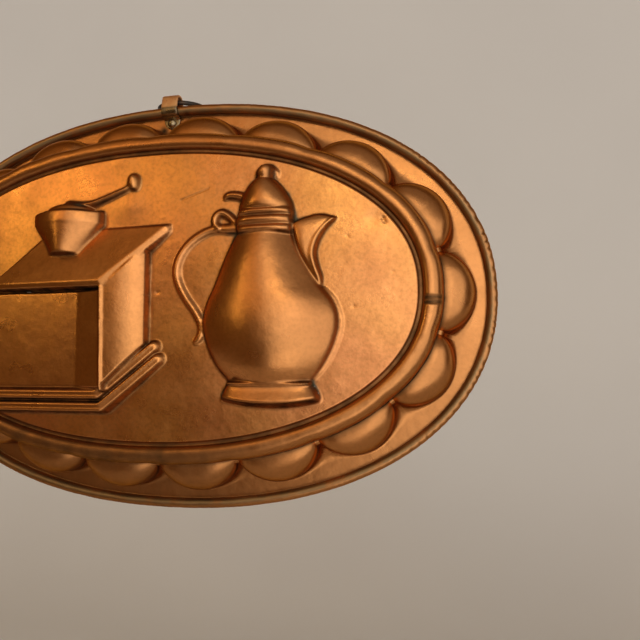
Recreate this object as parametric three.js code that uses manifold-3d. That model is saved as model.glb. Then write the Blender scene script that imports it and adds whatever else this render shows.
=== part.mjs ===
import * as THREE from 'three';
import { mergeVertices } from 'three/addons/utils/BufferGeometryUtils.js';
import Module from 'manifold-3d';

// An oval copper mould, hung by a ring from the top of its rim. The pressed sheet has a flat field
// with a coffee pot and a coffee mill raised on it, a rounded ridge round the field, eighteen lobes
// round the ridge, and a flange whose edge is rolled forward over an iron wire.
// Millimetres. +X right, +Z up towards the hanging ring, and the raised side faces -Y.
// Every height is measured forward, towards -Y, from the flat back of the rim.

// Sheet and rim
const SHEET = 0.6;
const FLANGE_WIDTH = 17.5;
const FLANGE_LAP = 3;
const BEAD_RADIUS = 2.0;
const BEAD_CURL_DEG = 300;
const RIM_WIRE_RADIUS = 1.0;
const SEAT_GAP = 0.3;

// The crease at the foot of the ridge is the oval from which every band is set off
const CREASE_HALF_LENGTH = 112.3;
const CREASE_HALF_WIDTH = 65.2;
const CREASE_POWER = 2.17;

// Field and ridge
const FIELD_HEIGHT = 22.6;
const RIDGE_WIDTH = 9.5;
const RIDGE_HEIGHT = 24.3;

// Lobes
const LOBE_COUNT = 18;
const LOBE_REACH = 13.2;
const LOBE_CREST = 16.4;
const CUSP_REACH = 3.2;
const CUSP_CREST = 12.4;
const LOBE_FOOT_FILLET = 1.6;
const LOBE_PITCH_OFFSET = 5.5;

// Hanging strap, its rivet and the ring
const STRAP_X = -1.8;
const STRAP_WIDTH = 7.5;
const STRAP_THICKNESS = 0.8;
const STRAP_LEAF_LENGTH = 5.4;
const EYE_BORE_RADIUS = 2.2;
const EYE_BEHIND_BEAD = 0.8;
const EYE_ABOVE_BEAD = 4.6;
const RIVET_BELOW_BEAD = 4.9;
const RIVET_SHANK_RADIUS = 1.2;
const RIVET_HEAD_RADIUS = 2.0;
const RIVET_HEAD_HEIGHT = 1.3;
const RING_RADIUS = 10.8;
const RING_WIRE_RADIUS = 1.0;
const RING_LIFT_DEG = 10;

// Coffee pot, raised on the field
const POT_X = 49.4;
const POT_LEAN = -0.03;
const POT_FOOT_Z = -41.2;
const POT_FOOT_HALF_WIDTH = 18.8;
const POT_FOOT_RISE = 6.2;
const POT_WAIST_HEIGHT = 8.5;
const POT_WAIST_HALF_WIDTH = 15.6;
const POT_WAIST_RISE = 5.6;
const POT_BELLY_Z = -11;
const POT_BELLY_HALF_WIDTH = 25.4;
const POT_BELLY_RISE = 9.5;
const POT_NECK_Z = 22.5;
const POT_NECK_HALF_WIDTH = 10.9;
const POT_NECK_RISE = 6.2;
const POT_COLLAR_HEIGHT = 9.5;
const POT_COLLAR_STEP = 0.8;
const POT_LID_HEIGHT = 10.6;
const POT_KNOB_RADIUS = 3.4;
const POT_KNOB_RISE = 4.4;
const HANDLE_RADIUS = 1.6;
const THUMB_REST_RADIUS = 1.3;

// Lines of the pot's handle, of the eye at its top and of the thumb rest: distance right of the
// pot's middle, and z
const HANDLE_LINE = [
  [-12.4, 25.2], [-16, 22.6], [-22.6, 25.2], [-29.2, 21.8], [-34.6, 16.2], [-37.6, 9],
  [-36.6, 2], [-32.8, -5], [-28.6, -10.8], [-26.9, -13.4], [-28.2, -17.8],
];
const HANDLE_EYE_LINE = [[-14.6, 27.4], [-17.6, 31], [-21.2, 30.4], [-22.8, 26.2]];
const THUMB_REST_LINE = [[-9, 36.6], [-12.6, 37.8], [-17.4, 38]];

// Sections of the spout, from the belly up to the beak: distance right of the pot's middle, z,
// half width, rise and the section's tilt in degrees
const SPOUT_SECTIONS = [
  [20.1, -10, 4.6, 3.6, -5], [17.2, 2.5, 4.4, 4.6, -8], [15.2, 11, 3.9, 5, -4],
  [14.4, 17, 4.9, 5, -6], [15.4, 22.4, 6.3, 4.5, -10], [18, 26.2, 6, 3.4, -14], [20, 27.8, 4, 1.6, -16],
];

// Coffee mill, raised on the field, drawn in oblique view with its right side receding
const MILL_CORNER_X = -15.5;
const MILL_FRONT_WIDTH = 50;
const MILL_FRONT_TOP_Z = 3;
const MILL_FRONT_BOTTOM_Z = -33.5;
const MILL_SIDE_RUN = 16.5;
const MILL_SIDE_CLIMB = 17.2;
const MILL_CORNER_RISE = 7.2;
const MILL_SIDE_RISE = 3.2;
const MILL_CORNER_LAP = 0.8;
const MILL_TOP_LEFT_OVERHANG = 3.5;
const MILL_TOP_RIGHT_OVERHANG = 0.4;
const MILL_TOP_FAR_OVERHANG = 8.1;
const MILL_TOP_BACK_OVERHANG = 4.3;
const MILL_TOP_LAP = 0.3;
const MILL_TOP_THICKNESS = 3.2;
const MILL_TOP_FRONT_RISE = 8.8;
const MILL_TOP_LEFT_RISE = 6.4;
const MILL_TOP_BACK_RISE = 5.6;
const MILL_BASE_BAR_RADIUS = 2.3;
const MILL_BASE_BAR_DROP = 4.3;
const MILL_BASE_BAR_PITCH = 4.8;
const MILL_BASE_SPREAD = -2;
const MILL_BASE_BAR_STEP = 1.7;
const MILL_BASE_BAR_RUN = 21.5;
const MILL_BASE_BAR_CLIMB = 17.9;
const HOPPER_LEFT_OF_CORNER = 18;
const HOPPER_ABOVE_TOP_EDGE = 11;
const HOPPER_TOP_HALF_WIDTH = 17.5;
const HOPPER_FOOT_HALF_WIDTH = 8.5;
const HOPPER_HEIGHT = 12.3;
const HOPPER_RIM_HEIGHT = 4.3;
const HOPPER_CAP_HEIGHT = 3.2;
const HOPPER_RISE = 8.6;
const CRANK_RADIUS = 1.3;
const CRANK_KNOB_Z = 45.4;
const CRANK_KNOB_RADIUS = 2.1;
const CRANK_KNOB_HEIGHT = 5.4;

// Line of the mill's crank: distance right of the case's corner, and z
const CRANK_LINE = [
  [-18, 37.8], [-8.7, 37.5], [-3.9, 38.9], [1, 40.6], [5.8, 42.2], [9, 43.9],
];

// Facets. A lobe's columns stand at these shares of its width, from -1 at one side to 1.
const LOBE_COLUMNS = [-1, -0.8, -0.45, 0, 0.45, 0.8];
const RIM_STEPS = 72;
const BEAD_STEPS = 7;
const LOFT_STEPS = 7;
const PITCH_TABLE_STEPS = 7200;

const wasm = await Module();
wasm.setup();

function solidOf(geometry) {
  const bare = geometry.clone();
  bare.deleteAttribute('normal');
  bare.deleteAttribute('uv');
  const merged = mergeVertices(bare, 1e-5);
  return new wasm.Manifold(new wasm.Mesh({
    numProp: 3,
    vertProperties: Float32Array.from(merged.attributes.position.array),
    triVerts: Uint32Array.from(merged.index.array),
  }));
}

function geometryOf(solid) {
  const mesh = solid.getMesh();
  const geometry = new THREE.BufferGeometry();
  geometry.setAttribute('position', new THREE.BufferAttribute(Float32Array.from(mesh.vertProperties), 3));
  geometry.setIndex(new THREE.BufferAttribute(Uint32Array.from(mesh.triVerts), 1));
  geometry.computeVertexNormals();
  return geometry;
}

function indexedGeometry(points, triangles) {
  const geometry = new THREE.BufferGeometry();
  geometry.setAttribute('position', new THREE.Float32BufferAttribute(points.flat(), 3));
  geometry.setIndex(triangles.flat());
  geometry.computeVertexNormals();
  return geometry;
}

// Point on the oval that is set off from the crease, and the oval's outward normal there
function creasePoint(angle) {
  const power = 2 / CREASE_POWER;
  const x = CREASE_HALF_LENGTH * Math.sign(Math.sin(angle)) * Math.abs(Math.sin(angle)) ** power;
  const z = CREASE_HALF_WIDTH * Math.sign(Math.cos(angle)) * Math.abs(Math.cos(angle)) ** power;
  const slope = CREASE_POWER - 1;
  const normal = new THREE.Vector2(
    (Math.sign(x) * Math.abs(x / CREASE_HALF_LENGTH) ** slope) / CREASE_HALF_LENGTH,
    (Math.sign(z) * Math.abs(z / CREASE_HALF_WIDTH) ** slope) / CREASE_HALF_WIDTH,
  ).normalize();
  return { x, z, normal };
}

// Angles at which the lobe pitch line, an oval set off from the crease, is cut into equal lengths
const pitchLengths = [0];
let pitchPoint = creasePoint(0);
for (let i = 1; i <= PITCH_TABLE_STEPS; i++) {
  const next = creasePoint((2 * Math.PI * i) / PITCH_TABLE_STEPS);
  const dx = next.x - pitchPoint.x + LOBE_PITCH_OFFSET * (next.normal.x - pitchPoint.normal.x);
  const dz = next.z - pitchPoint.z + LOBE_PITCH_OFFSET * (next.normal.y - pitchPoint.normal.y);
  pitchLengths.push(pitchLengths[i - 1] + Math.hypot(dx, dz));
  pitchPoint = next;
}

function angleAtTurn(turn) {
  const target = (turn - Math.floor(turn)) * pitchLengths[PITCH_TABLE_STEPS];
  let low = 0;
  let high = PITCH_TABLE_STEPS;
  while (high - low > 1) {
    const middle = (low + high) >> 1;
    if (pitchLengths[middle] <= target) low = middle;
    else high = middle;
  }
  const share = (target - pitchLengths[low]) / (pitchLengths[high] - pitchLengths[low]);
  return (2 * Math.PI * (low + share)) / PITCH_TABLE_STEPS;
}

// A turn of 0 is the top of the oval and 0.25 its right end
function ovalPoint(turn, outward, height) {
  const { x, z, normal } = creasePoint(angleAtTurn(turn));
  return [x + outward * normal.x, -height, z + outward * normal.y];
}

// One column of the pressed surface, from the flange in to the field: pairs of outward offset and
// height. side runs from -1 to 1 across a lobe, whose neighbours meet it at -1 and 1.
function pressedColumn(side) {
  const fullness = Math.sqrt(1 - side * side);
  const reach = CUSP_REACH + (LOBE_REACH - CUSP_REACH) * fullness;
  const crest = CUSP_CREST + (LOBE_CREST - CUSP_CREST) * (1 - side ** 4);
  const foot = SHEET + LOBE_FOOT_FILLET;
  const column = [[FLANGE_WIDTH, SHEET]];
  for (const degrees of [90, 40]) {
    const tilt = THREE.MathUtils.degToRad(degrees);
    column.push([
      reach + LOBE_FOOT_FILLET * (1 - Math.cos(tilt)),
      foot - LOBE_FOOT_FILLET * Math.sin(tilt),
    ]);
  }
  for (const degrees of [0, 25, 50, 74]) {
    const tilt = THREE.MathUtils.degToRad(degrees);
    column.push([reach * Math.cos(tilt), foot + (crest - foot) * Math.sin(tilt)]);
  }
  column.push([0, crest]);
  const halfRidge = RIDGE_WIDTH / 2;
  for (const degrees of [28, 56, 90]) {
    const tilt = THREE.MathUtils.degToRad(degrees);
    column.push([halfRidge * (Math.cos(tilt) - 1), crest + (RIDGE_HEIGHT - crest) * Math.sin(tilt)]);
  }
  column.push([-halfRidge * 1.6, FIELD_HEIGHT + (RIDGE_HEIGHT - FIELD_HEIGHT) * 0.75]);
  column.push([-RIDGE_WIDTH, FIELD_HEIGHT]);
  return column;
}

// The same column one sheet thickness further in, from the open back up to the field
function hollowColumn(side) {
  const outer = pressedColumn(side);
  const inner = [];
  for (let i = 3; i < outer.length; i++) {
    const [s, h] = outer[i];
    const before = outer[i - 1];
    const after = outer[Math.min(i + 1, outer.length - 1)];
    const along = new THREE.Vector2(after[0] - before[0], after[1] - before[1]).normalize();
    if (i === outer.length - 1) along.set(-1, 0);
    inner.push([s - SHEET * along.y, h + SHEET * along.x]);
  }
  inner.unshift([inner[0][0], -SHEET]);
  return inner;
}

// Closed solid between a stack of oval loops, a fan over the last loop and a flat back
function ovalSolid(columnAt, backHeight) {
  const columns = [];
  for (let lobe = 0; lobe < LOBE_COUNT; lobe++) {
    for (const side of LOBE_COLUMNS) {
      const turn = (lobe + (side + 1) / 2) / LOBE_COUNT;
      columns.push(columnAt(side).map(([s, h]) => ovalPoint(turn, s, h)));
    }
  }
  const count = columns.length;
  const rows = columns[0].length;
  const points = columns.flat();
  const triangles = [];
  const at = (column, row) => (column % count) * rows + row;
  for (let column = 0; column < count; column++) {
    for (let row = 0; row + 1 < rows; row++) {
      triangles.push([at(column, row), at(column, row + 1), at(column + 1, row + 1)]);
      triangles.push([at(column, row), at(column + 1, row + 1), at(column + 1, row)]);
    }
  }
  const topCentre = points.length;
  points.push([0, points[rows - 1][1], 0]);
  const backCentre = points.length;
  points.push([0, -backHeight, 0]);
  const backLoop = points.length;
  for (let column = 0; column < count; column++) {
    const [x, , z] = points[at(column, 0)];
    points.push([x, -backHeight, z]);
  }
  for (let column = 0; column < count; column++) {
    const next = (column + 1) % count;
    triangles.push([at(column, rows - 1), topCentre, at(next, rows - 1)]);
    triangles.push([backLoop + column, backLoop + next, backCentre]);
    triangles.push([backLoop + column, at(column, 0), at(next, 0)]);
    triangles.push([backLoop + column, at(next, 0), backLoop + next]);
  }
  return solidOf(indexedGeometry(points, triangles));
}

// A closed outline of offset and height, swept once round the oval
function ovalSweep(outline) {
  const points = [];
  const triangles = [];
  const count = outline.length;
  for (let step = 0; step < RIM_STEPS; step++) {
    for (const [s, h] of outline) points.push(ovalPoint(step / RIM_STEPS, s, h));
  }
  for (let step = 0; step < RIM_STEPS; step++) {
    const here = step * count;
    const next = ((step + 1) % RIM_STEPS) * count;
    for (let i = 0; i < count; i++) {
      const j = (i + 1) % count;
      triangles.push([here + i, here + j, next + j]);
      triangles.push([here + i, next + j, next + i]);
    }
  }
  return indexedGeometry(points, triangles);
}

const BEAD_OFFSET = FLANGE_WIDTH + BEAD_RADIUS;
const BEAD_HEIGHT = BEAD_RADIUS;

function arcPoints(radius, fromDeg, toDeg, steps) {
  const points = [];
  for (let step = 0; step <= steps; step++) {
    const angle = THREE.MathUtils.degToRad(fromDeg + ((toDeg - fromDeg) * step) / steps);
    points.push([BEAD_OFFSET + radius * Math.cos(angle), BEAD_HEIGHT + radius * Math.sin(angle)]);
  }
  return points;
}

// The flange's edge, rolled out and forward round the rim wire
function rolledEdge() {
  const end = BEAD_CURL_DEG - 90;
  const outline = [
    [FLANGE_WIDTH - FLANGE_LAP, 0],
    ...arcPoints(BEAD_RADIUS, -90, end, BEAD_STEPS),
    ...arcPoints(BEAD_RADIUS - SHEET, end, -90, BEAD_STEPS),
    [FLANGE_WIDTH - FLANGE_LAP, SHEET],
  ];
  return solidOf(ovalSweep(outline));
}

function rimWire() {
  const sides = 8;
  return ovalSweep(arcPoints(RIM_WIRE_RADIUS, 0, 360 - 360 / sides, sides - 1));
}

// A raised form built up of half ovals. Each station gives its middle, a half width, how far it
// rises and how far it is tilted from level. The form is sunk into the field by the given depth.
function raisedLoft(stations, shrink, sink) {
  const points = [];
  const triangles = [];
  const perStation = LOFT_STEPS + 3;
  stations.forEach(({ z, x, halfWidth, rise, tilt = 0 }, index) => {
    const w = Math.max(halfWidth - shrink, SHEET / 2);
    const r = Math.max(rise - shrink, SHEET / 3);
    const along = index === 0 ? shrink : index === stations.length - 1 ? -shrink : 0;
    const place = (across, height) => {
      const dx = across * Math.cos(tilt) - along * Math.sin(tilt);
      const dz = across * Math.sin(tilt) + along * Math.cos(tilt);
      points.push([x + dx, -(FIELD_HEIGHT + height), z + dz]);
    };
    for (let i = 0; i <= LOFT_STEPS; i++) {
      const angle = (Math.PI * i) / LOFT_STEPS;
      place(w * Math.cos(angle), r * Math.sin(angle));
    }
    place(-w, -sink);
    place(w, -sink);
  });
  for (let s = 0; s + 1 < stations.length; s++) {
    for (let i = 0; i < perStation; i++) {
      const j = (i + 1) % perStation;
      const a = s * perStation + i;
      const b = s * perStation + j;
      triangles.push([a, a + perStation, b + perStation]);
      triangles.push([a, b + perStation, b]);
    }
  }
  const last = (stations.length - 1) * perStation;
  for (let i = 1; i + 1 < perStation; i++) {
    triangles.push([0, i, i + 1]);
    triangles.push([last, last + i + 1, last + i]);
  }
  return solidOf(indexedGeometry(points, triangles));
}

// A raised slab: a counter-clockwise outline seen from the front, each corner with its own rise
function raisedSlab(corners, shrink, sink) {
  const outline = corners.map(([x, z]) => new THREE.Vector2(x, z));
  const count = corners.length;
  const inwardNormals = outline.map((corner, i) => {
    const edge = outline[(i + 1) % count].clone().sub(corner).normalize();
    return new THREE.Vector2(-edge.y, edge.x);
  });
  const inset = outline.map((corner, i) => {
    const before = inwardNormals[(i + count - 1) % count];
    const after = inwardNormals[i];
    const mitre = before.clone().add(after).divideScalar(1 + before.dot(after));
    return corner.clone().addScaledVector(mitre, shrink);
  });
  const points = [];
  inset.forEach((point, i) => points.push([point.x, -(FIELD_HEIGHT + corners[i][2] - shrink), point.y]));
  inset.forEach((point) => points.push([point.x, -(FIELD_HEIGHT - sink), point.y]));
  const triangles = [];
  for (const [a, b, c] of THREE.ShapeUtils.triangulateShape(inset, [])) {
    triangles.push([a, b, c]);
    triangles.push([count + a, count + c, count + b]);
  }
  for (let i = 0; i < count; i++) {
    const j = (i + 1) % count;
    triangles.push([i, count + j, j]);
    triangles.push([i, count + i, count + j]);
  }
  return solidOf(indexedGeometry(points, triangles));
}

// A round bar whose middle line lies on the field's face. A shrunk bar is shorter at both ends too.
function raisedBar(waypoints, radius, shrink, steps) {
  const points = waypoints.map(([x, z]) => new THREE.Vector3(x, -FIELD_HEIGHT, z));
  const shorten = (end, next) => end.add(next.clone().sub(end).setLength(shrink));
  shorten(points[0], points[1]);
  shorten(points[points.length - 1], points[points.length - 2]);
  const curve = new THREE.CatmullRomCurve3(points, false, 'centripetal');
  const section = new THREE.Shape();
  section.absarc(0, 0, radius - shrink, 0, 2 * Math.PI, false);
  const geometry = new THREE.ExtrudeGeometry(section, { steps, extrudePath: curve, curveSegments: 4 });
  return solidOf(geometry);
}

// Stations of the pot's body, from its foot up to its knob
function potStations() {
  const station = (z, halfWidth, rise) => ({
    z, x: POT_X + POT_LEAN * (z - POT_BELLY_Z), halfWidth, rise,
  });
  const between = (low, high, share) => low + (high - low) * share;
  const waistZ = POT_FOOT_Z + POT_WAIST_HEIGHT;
  const stations = [
    station(POT_FOOT_Z, POT_FOOT_HALF_WIDTH * 0.96, POT_FOOT_RISE * 0.87),
    station(POT_FOOT_Z + POT_WAIST_HEIGHT * 0.26, POT_FOOT_HALF_WIDTH, POT_FOOT_RISE),
    station(waistZ, POT_WAIST_HALF_WIDTH, POT_WAIST_RISE),
  ];
  for (const [along, share] of [[0.36, 0.52], [0.72, 0.86], [1, 1]]) {
    stations.push(station(
      between(waistZ, POT_BELLY_Z, along),
      between(POT_WAIST_HALF_WIDTH, POT_BELLY_HALF_WIDTH, share),
      between(POT_WAIST_RISE, POT_BELLY_RISE, share),
    ));
  }
  for (const along of [0.2, 0.45, 0.72, 1]) {
    const share = (1 - Math.cos(Math.PI * along)) / 2;
    stations.push(station(
      between(POT_BELLY_Z, POT_NECK_Z, along),
      between(POT_BELLY_HALF_WIDTH, POT_NECK_HALF_WIDTH, share),
      between(POT_BELLY_RISE, POT_NECK_RISE - POT_COLLAR_STEP, share),
    ));
  }
  const lidFoot = POT_NECK_Z + POT_COLLAR_HEIGHT;
  stations.push(station(POT_NECK_Z + POT_COLLAR_STEP, POT_NECK_HALF_WIDTH, POT_NECK_RISE));
  stations.push(station(lidFoot, POT_NECK_HALF_WIDTH, POT_NECK_RISE));
  for (const tilt of [0.5, 0.95, 1.3]) {
    stations.push(station(
      lidFoot + POT_LID_HEIGHT * Math.sin(tilt),
      POT_NECK_HALF_WIDTH * Math.cos(tilt),
      between(POT_NECK_RISE / 3, POT_NECK_RISE, Math.cos(tilt)),
    ));
  }
  const knobZ = lidFoot + POT_LID_HEIGHT + POT_KNOB_RADIUS * 0.9;
  for (const tilt of [-0.6, 0, 0.7, 1.25]) {
    stations.push(station(
      knobZ + POT_KNOB_RADIUS * Math.sin(tilt),
      POT_KNOB_RADIUS * Math.cos(tilt),
      POT_KNOB_RISE * Math.cos(tilt),
    ));
  }
  return stations;
}

function spoutStations() {
  return SPOUT_SECTIONS.map(([across, z, halfWidth, rise, degrees]) => (
    { x: POT_X + across, z, halfWidth, rise, tilt: THREE.MathUtils.degToRad(degrees) }
  ));
}

function potSolid(shrink, sink) {
  const bar = (line, radius, steps) => (
    raisedBar(line.map(([across, z]) => [POT_X + across, z]), radius, shrink, steps)
  );
  return raisedLoft(potStations(), shrink, sink)
    .add(raisedLoft(spoutStations(), shrink, sink))
    .add(bar(HANDLE_LINE, HANDLE_RADIUS, 20))
    .add(bar(HANDLE_EYE_LINE, THUMB_REST_RADIUS, 7))
    .add(bar(THUMB_REST_LINE, THUMB_REST_RADIUS, 4));
}

// Front, right side and top of the mill's case
function caseSolid(shrink, sink) {
  const right = MILL_CORNER_X;
  const left = right - MILL_FRONT_WIDTH;
  const top = MILL_FRONT_TOP_Z;
  const bottom = MILL_FRONT_BOTTOM_Z;
  const front = raisedSlab([
    [left, bottom, MILL_SIDE_RISE], [right, bottom, MILL_CORNER_RISE],
    [right, top, MILL_CORNER_RISE], [left, top, MILL_SIDE_RISE],
  ], shrink, sink);
  const near = right - MILL_CORNER_LAP;
  const far = right + MILL_SIDE_RUN;
  const side = raisedSlab([
    [near, bottom, MILL_CORNER_RISE], [far, bottom + MILL_SIDE_CLIMB, MILL_SIDE_RISE],
    [far, top + MILL_SIDE_CLIMB, MILL_SIDE_RISE], [near, top, MILL_CORNER_RISE],
  ], shrink, sink);

  const plateLeft = left - MILL_TOP_LEFT_OVERHANG;
  const plateRight = right + MILL_TOP_RIGHT_OVERHANG;
  const plateFoot = top - MILL_TOP_LAP;
  const plateFront = top + MILL_TOP_THICKNESS;
  const run = MILL_SIDE_RUN + MILL_TOP_FAR_OVERHANG;
  const climb = MILL_SIDE_CLIMB + MILL_TOP_BACK_OVERHANG;
  const towardsRight = (MILL_TOP_FRONT_RISE - MILL_TOP_LEFT_RISE) / (plateRight - plateLeft);
  const towardsBack = (MILL_TOP_BACK_RISE - MILL_TOP_FRONT_RISE - towardsRight * run) / climb;
  const plateOutline = [
    [plateLeft, plateFoot], [plateRight, plateFoot],
    [plateRight + run, plateFront + climb - MILL_TOP_THICKNESS],
    [plateRight + run, plateFront + climb],
    [plateLeft + run, plateFront + climb], [plateLeft, plateFront],
  ];
  const plate = raisedSlab(plateOutline.map(([x, z]) => {
    const rise = MILL_TOP_FRONT_RISE + (x - plateRight) * towardsRight + (z - plateFront) * towardsBack;
    return [x, z, rise];
  }), shrink, sink);
  return front.add(side).add(plate);
}

function hopperStations() {
  const x = MILL_CORNER_X - HOPPER_LEFT_OF_CORNER;
  const footZ = MILL_FRONT_TOP_Z + MILL_TOP_THICKNESS + HOPPER_ABOVE_TOP_EDGE;
  const rimZ = footZ + HOPPER_HEIGHT;
  const topZ = rimZ + HOPPER_RIM_HEIGHT;
  const wide = HOPPER_TOP_HALF_WIDTH;
  return [
    { z: footZ, x, halfWidth: HOPPER_FOOT_HALF_WIDTH, rise: HOPPER_RISE * 0.9 },
    { z: rimZ, x, halfWidth: wide, rise: HOPPER_RISE },
    { z: topZ, x, halfWidth: wide, rise: HOPPER_RISE },
    { z: topZ + HOPPER_CAP_HEIGHT * 0.25, x, halfWidth: wide * 0.56, rise: HOPPER_RISE * 0.75 },
    { z: topZ + HOPPER_CAP_HEIGHT, x, halfWidth: wide * 0.34, rise: HOPPER_RISE * 0.5 },
  ];
}

// Two bars round the foot of the case, one below the other
function baseBar(index, shrink) {
  const right = MILL_CORNER_X;
  const z = MILL_FRONT_BOTTOM_Z - MILL_BASE_BAR_DROP - MILL_BASE_BAR_PITCH * index;
  const spread = MILL_BASE_SPREAD + MILL_BASE_BAR_STEP * index;
  const corner = right + spread;
  return raisedBar([
    [right - MILL_FRONT_WIDTH - spread, z], [corner - MILL_BASE_BAR_PITCH * 2, z], [corner, z],
    [corner + MILL_BASE_BAR_RUN / 2, z + MILL_BASE_BAR_CLIMB / 2],
    [corner + MILL_BASE_BAR_RUN, z + MILL_BASE_BAR_CLIMB],
  ], MILL_BASE_BAR_RADIUS, shrink, 9);
}

function crankKnobStations() {
  const [across] = CRANK_LINE[CRANK_LINE.length - 1];
  const widths = [[-0.5, 0.45], [-0.36, 0.87], [0, 1], [0.36, 0.87], [0.5, 0.45]];
  return widths.map(([share, width]) => ({
    z: CRANK_KNOB_Z + CRANK_KNOB_HEIGHT * share,
    x: MILL_CORNER_X + across,
    halfWidth: CRANK_KNOB_RADIUS * width,
    rise: CRANK_KNOB_RADIUS * width * 1.6,
  }));
}

function millSolid(shrink, sink) {
  const crankLine = CRANK_LINE.map(([across, z]) => [MILL_CORNER_X + across, z]);
  return caseSolid(shrink, sink)
    .add(raisedLoft(hopperStations(), shrink, sink))
    .add(raisedBar(crankLine, CRANK_RADIUS, shrink, 8))
    .add(raisedLoft(crankKnobStations(), shrink, sink))
    .add(baseBar(0, shrink))
    .add(baseBar(1, shrink));
}

// Rivet and strap lie on the oval's short axis
const BEAD_Z = CREASE_HALF_WIDTH + BEAD_OFFSET;
const RIVET_Z = BEAD_Z - RIVET_BELOW_BEAD;
const EYE_Y = EYE_BEHIND_BEAD - BEAD_HEIGHT;
const EYE_Z = BEAD_Z + EYE_ABOVE_BEAD;

function cylinderAlongY(radius, fromY, toY, sides) {
  const geometry = new THREE.CylinderGeometry(radius, radius, toY - fromY, sides);
  geometry.translate(STRAP_X, (fromY + toY) / 2, RIVET_Z);
  return geometry;
}

function rivetHole() {
  const reach = 2 * STRAP_THICKNESS + SHEET;
  return solidOf(cylinderAlongY(RIVET_SHANK_RADIUS + SEAT_GAP, -2 * reach, reach, 16));
}

function mouldShell() {
  const sink = SHEET / 2;
  const cut = 2 * SHEET;
  const body = ovalSolid(pressedColumn, 0);
  const hollow = ovalSolid(hollowColumn, -1);
  return body
    .add(potSolid(0, sink))
    .add(millSolid(0, sink))
    .subtract(hollow)
    .subtract(potSolid(SHEET, cut))
    .subtract(millSolid(SHEET, cut))
    .add(rolledEdge())
    .subtract(rivetHole());
}

// The strap is one strip: down the flange's front, over the bead, round the eye and down the back
function strapMiddleLine() {
  const half = STRAP_THICKNESS / 2;
  const hug = BEAD_RADIUS + SEAT_GAP + half;
  const eye = EYE_BORE_RADIUS + half;
  const around = (y, z, radius, degrees) => {
    const angle = THREE.MathUtils.degToRad(degrees);
    return [y + radius * Math.cos(angle), z + radius * Math.sin(angle)];
  };
  const lowZ = BEAD_Z - BEAD_RADIUS - STRAP_LEAF_LENGTH;
  const onBead = (degrees) => around(-BEAD_HEIGHT, BEAD_Z, hug, degrees);
  const onEye = (degrees) => around(EYE_Y, EYE_Z, eye, degrees);
  return [
    [-SHEET - half, lowZ], [-SHEET - half, BEAD_Z - hug],
    onBead(255), onBead(228), onBead(200), onBead(169),
    onEye(169), onEye(140), onEye(110), onEye(80), onEye(50), onEye(20), onEye(-9),
    onBead(-9),
    [half, BEAD_Z - hug], [half, lowZ],
  ];
}

function ribbonOutline(line, halfThickness) {
  const side = (sign) => line.map(([y, z], i) => {
    const before = line[Math.max(i - 1, 0)];
    const after = line[Math.min(i + 1, line.length - 1)];
    const along = new THREE.Vector2(after[0] - before[0], after[1] - before[1]).normalize();
    return new THREE.Vector2(y - sign * halfThickness * along.y, z + sign * halfThickness * along.x);
  });
  return [...side(1), ...side(-1).reverse()];
}

function hangerStrap() {
  const line = strapMiddleLine();
  const strip = new THREE.Shape(ribbonOutline(line, STRAP_THICKNESS / 2));
  const geometry = new THREE.ExtrudeGeometry(strip, { depth: STRAP_WIDTH, bevelEnabled: false });
  geometry.rotateY(Math.PI / 2);
  geometry.rotateX(Math.PI / 2);
  geometry.translate(STRAP_X - STRAP_WIDTH / 2, 0, 0);
  const half = STRAP_WIDTH / 2;
  const face = new THREE.Shape();
  face.moveTo(-half, EYE_Z + 2 * half);
  face.lineTo(-half, line[0][1] + half);
  face.absarc(0, line[0][1] + half, half, Math.PI, 2 * Math.PI, false);
  face.lineTo(half, EYE_Z + 2 * half);
  const trim = new THREE.ExtrudeGeometry(face, { depth: 6 * half, bevelEnabled: false, curveSegments: 8 });
  trim.rotateX(Math.PI / 2);
  trim.translate(STRAP_X, 3 * half, 0);
  return solidOf(geometry).intersect(solidOf(trim)).subtract(rivetHole());
}

// Round head in front, shank through both leaves and the flange, flatter head behind
function hangerRivet() {
  const front = SHEET + STRAP_THICKNESS;
  const back = -STRAP_THICKNESS;
  const profile = [
    [0, front + RIVET_HEAD_HEIGHT],
    [RIVET_HEAD_RADIUS * 0.5, front + RIVET_HEAD_HEIGHT * 0.86],
    [RIVET_HEAD_RADIUS * 0.87, front + RIVET_HEAD_HEIGHT * 0.5],
    [RIVET_HEAD_RADIUS, front],
    [RIVET_SHANK_RADIUS, front],
    [RIVET_SHANK_RADIUS, back],
    [RIVET_HEAD_RADIUS * 0.9, back],
    [RIVET_HEAD_RADIUS * 0.6, back - RIVET_HEAD_HEIGHT * 0.6],
    [0, back - RIVET_HEAD_HEIGHT * 0.7],
  ];
  const geometry = new THREE.LatheGeometry(profile.reverse().map(([r, y]) => new THREE.Vector2(r, y)), 16);
  geometry.rotateX(Math.PI);
  return geometry;
}

function hangingRing() {
  const geometry = new THREE.TorusGeometry(RING_RADIUS, RING_WIRE_RADIUS, 10, 40);
  geometry.translate(0, RING_RADIUS, 0);
  return geometry;
}

const copper = { color: 0xb8693c, roughness: 0.34, metalness: 1 };
const iron = { color: 0x2a2623, roughness: 0.6, metalness: 0.8 };
const brass = { color: 0xb98a4a, roughness: 0.38, metalness: 1 };

const mould = new THREE.Group();

function addPiece(name, geometry, look) {
  const mesh = new THREE.Mesh(geometry, new THREE.MeshStandardMaterial(look));
  mesh.name = name;
  mould.add(mesh);
  return mesh;
}

addPiece('mould_shell', geometryOf(mouldShell()), copper);
addPiece('rim_wire', rimWire(), iron);
addPiece('hanger_strap', geometryOf(hangerStrap()), brass);

const rivet = addPiece('hanger_rivet', hangerRivet(), brass);
rivet.position.set(STRAP_X, 0, RIVET_Z);

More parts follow.
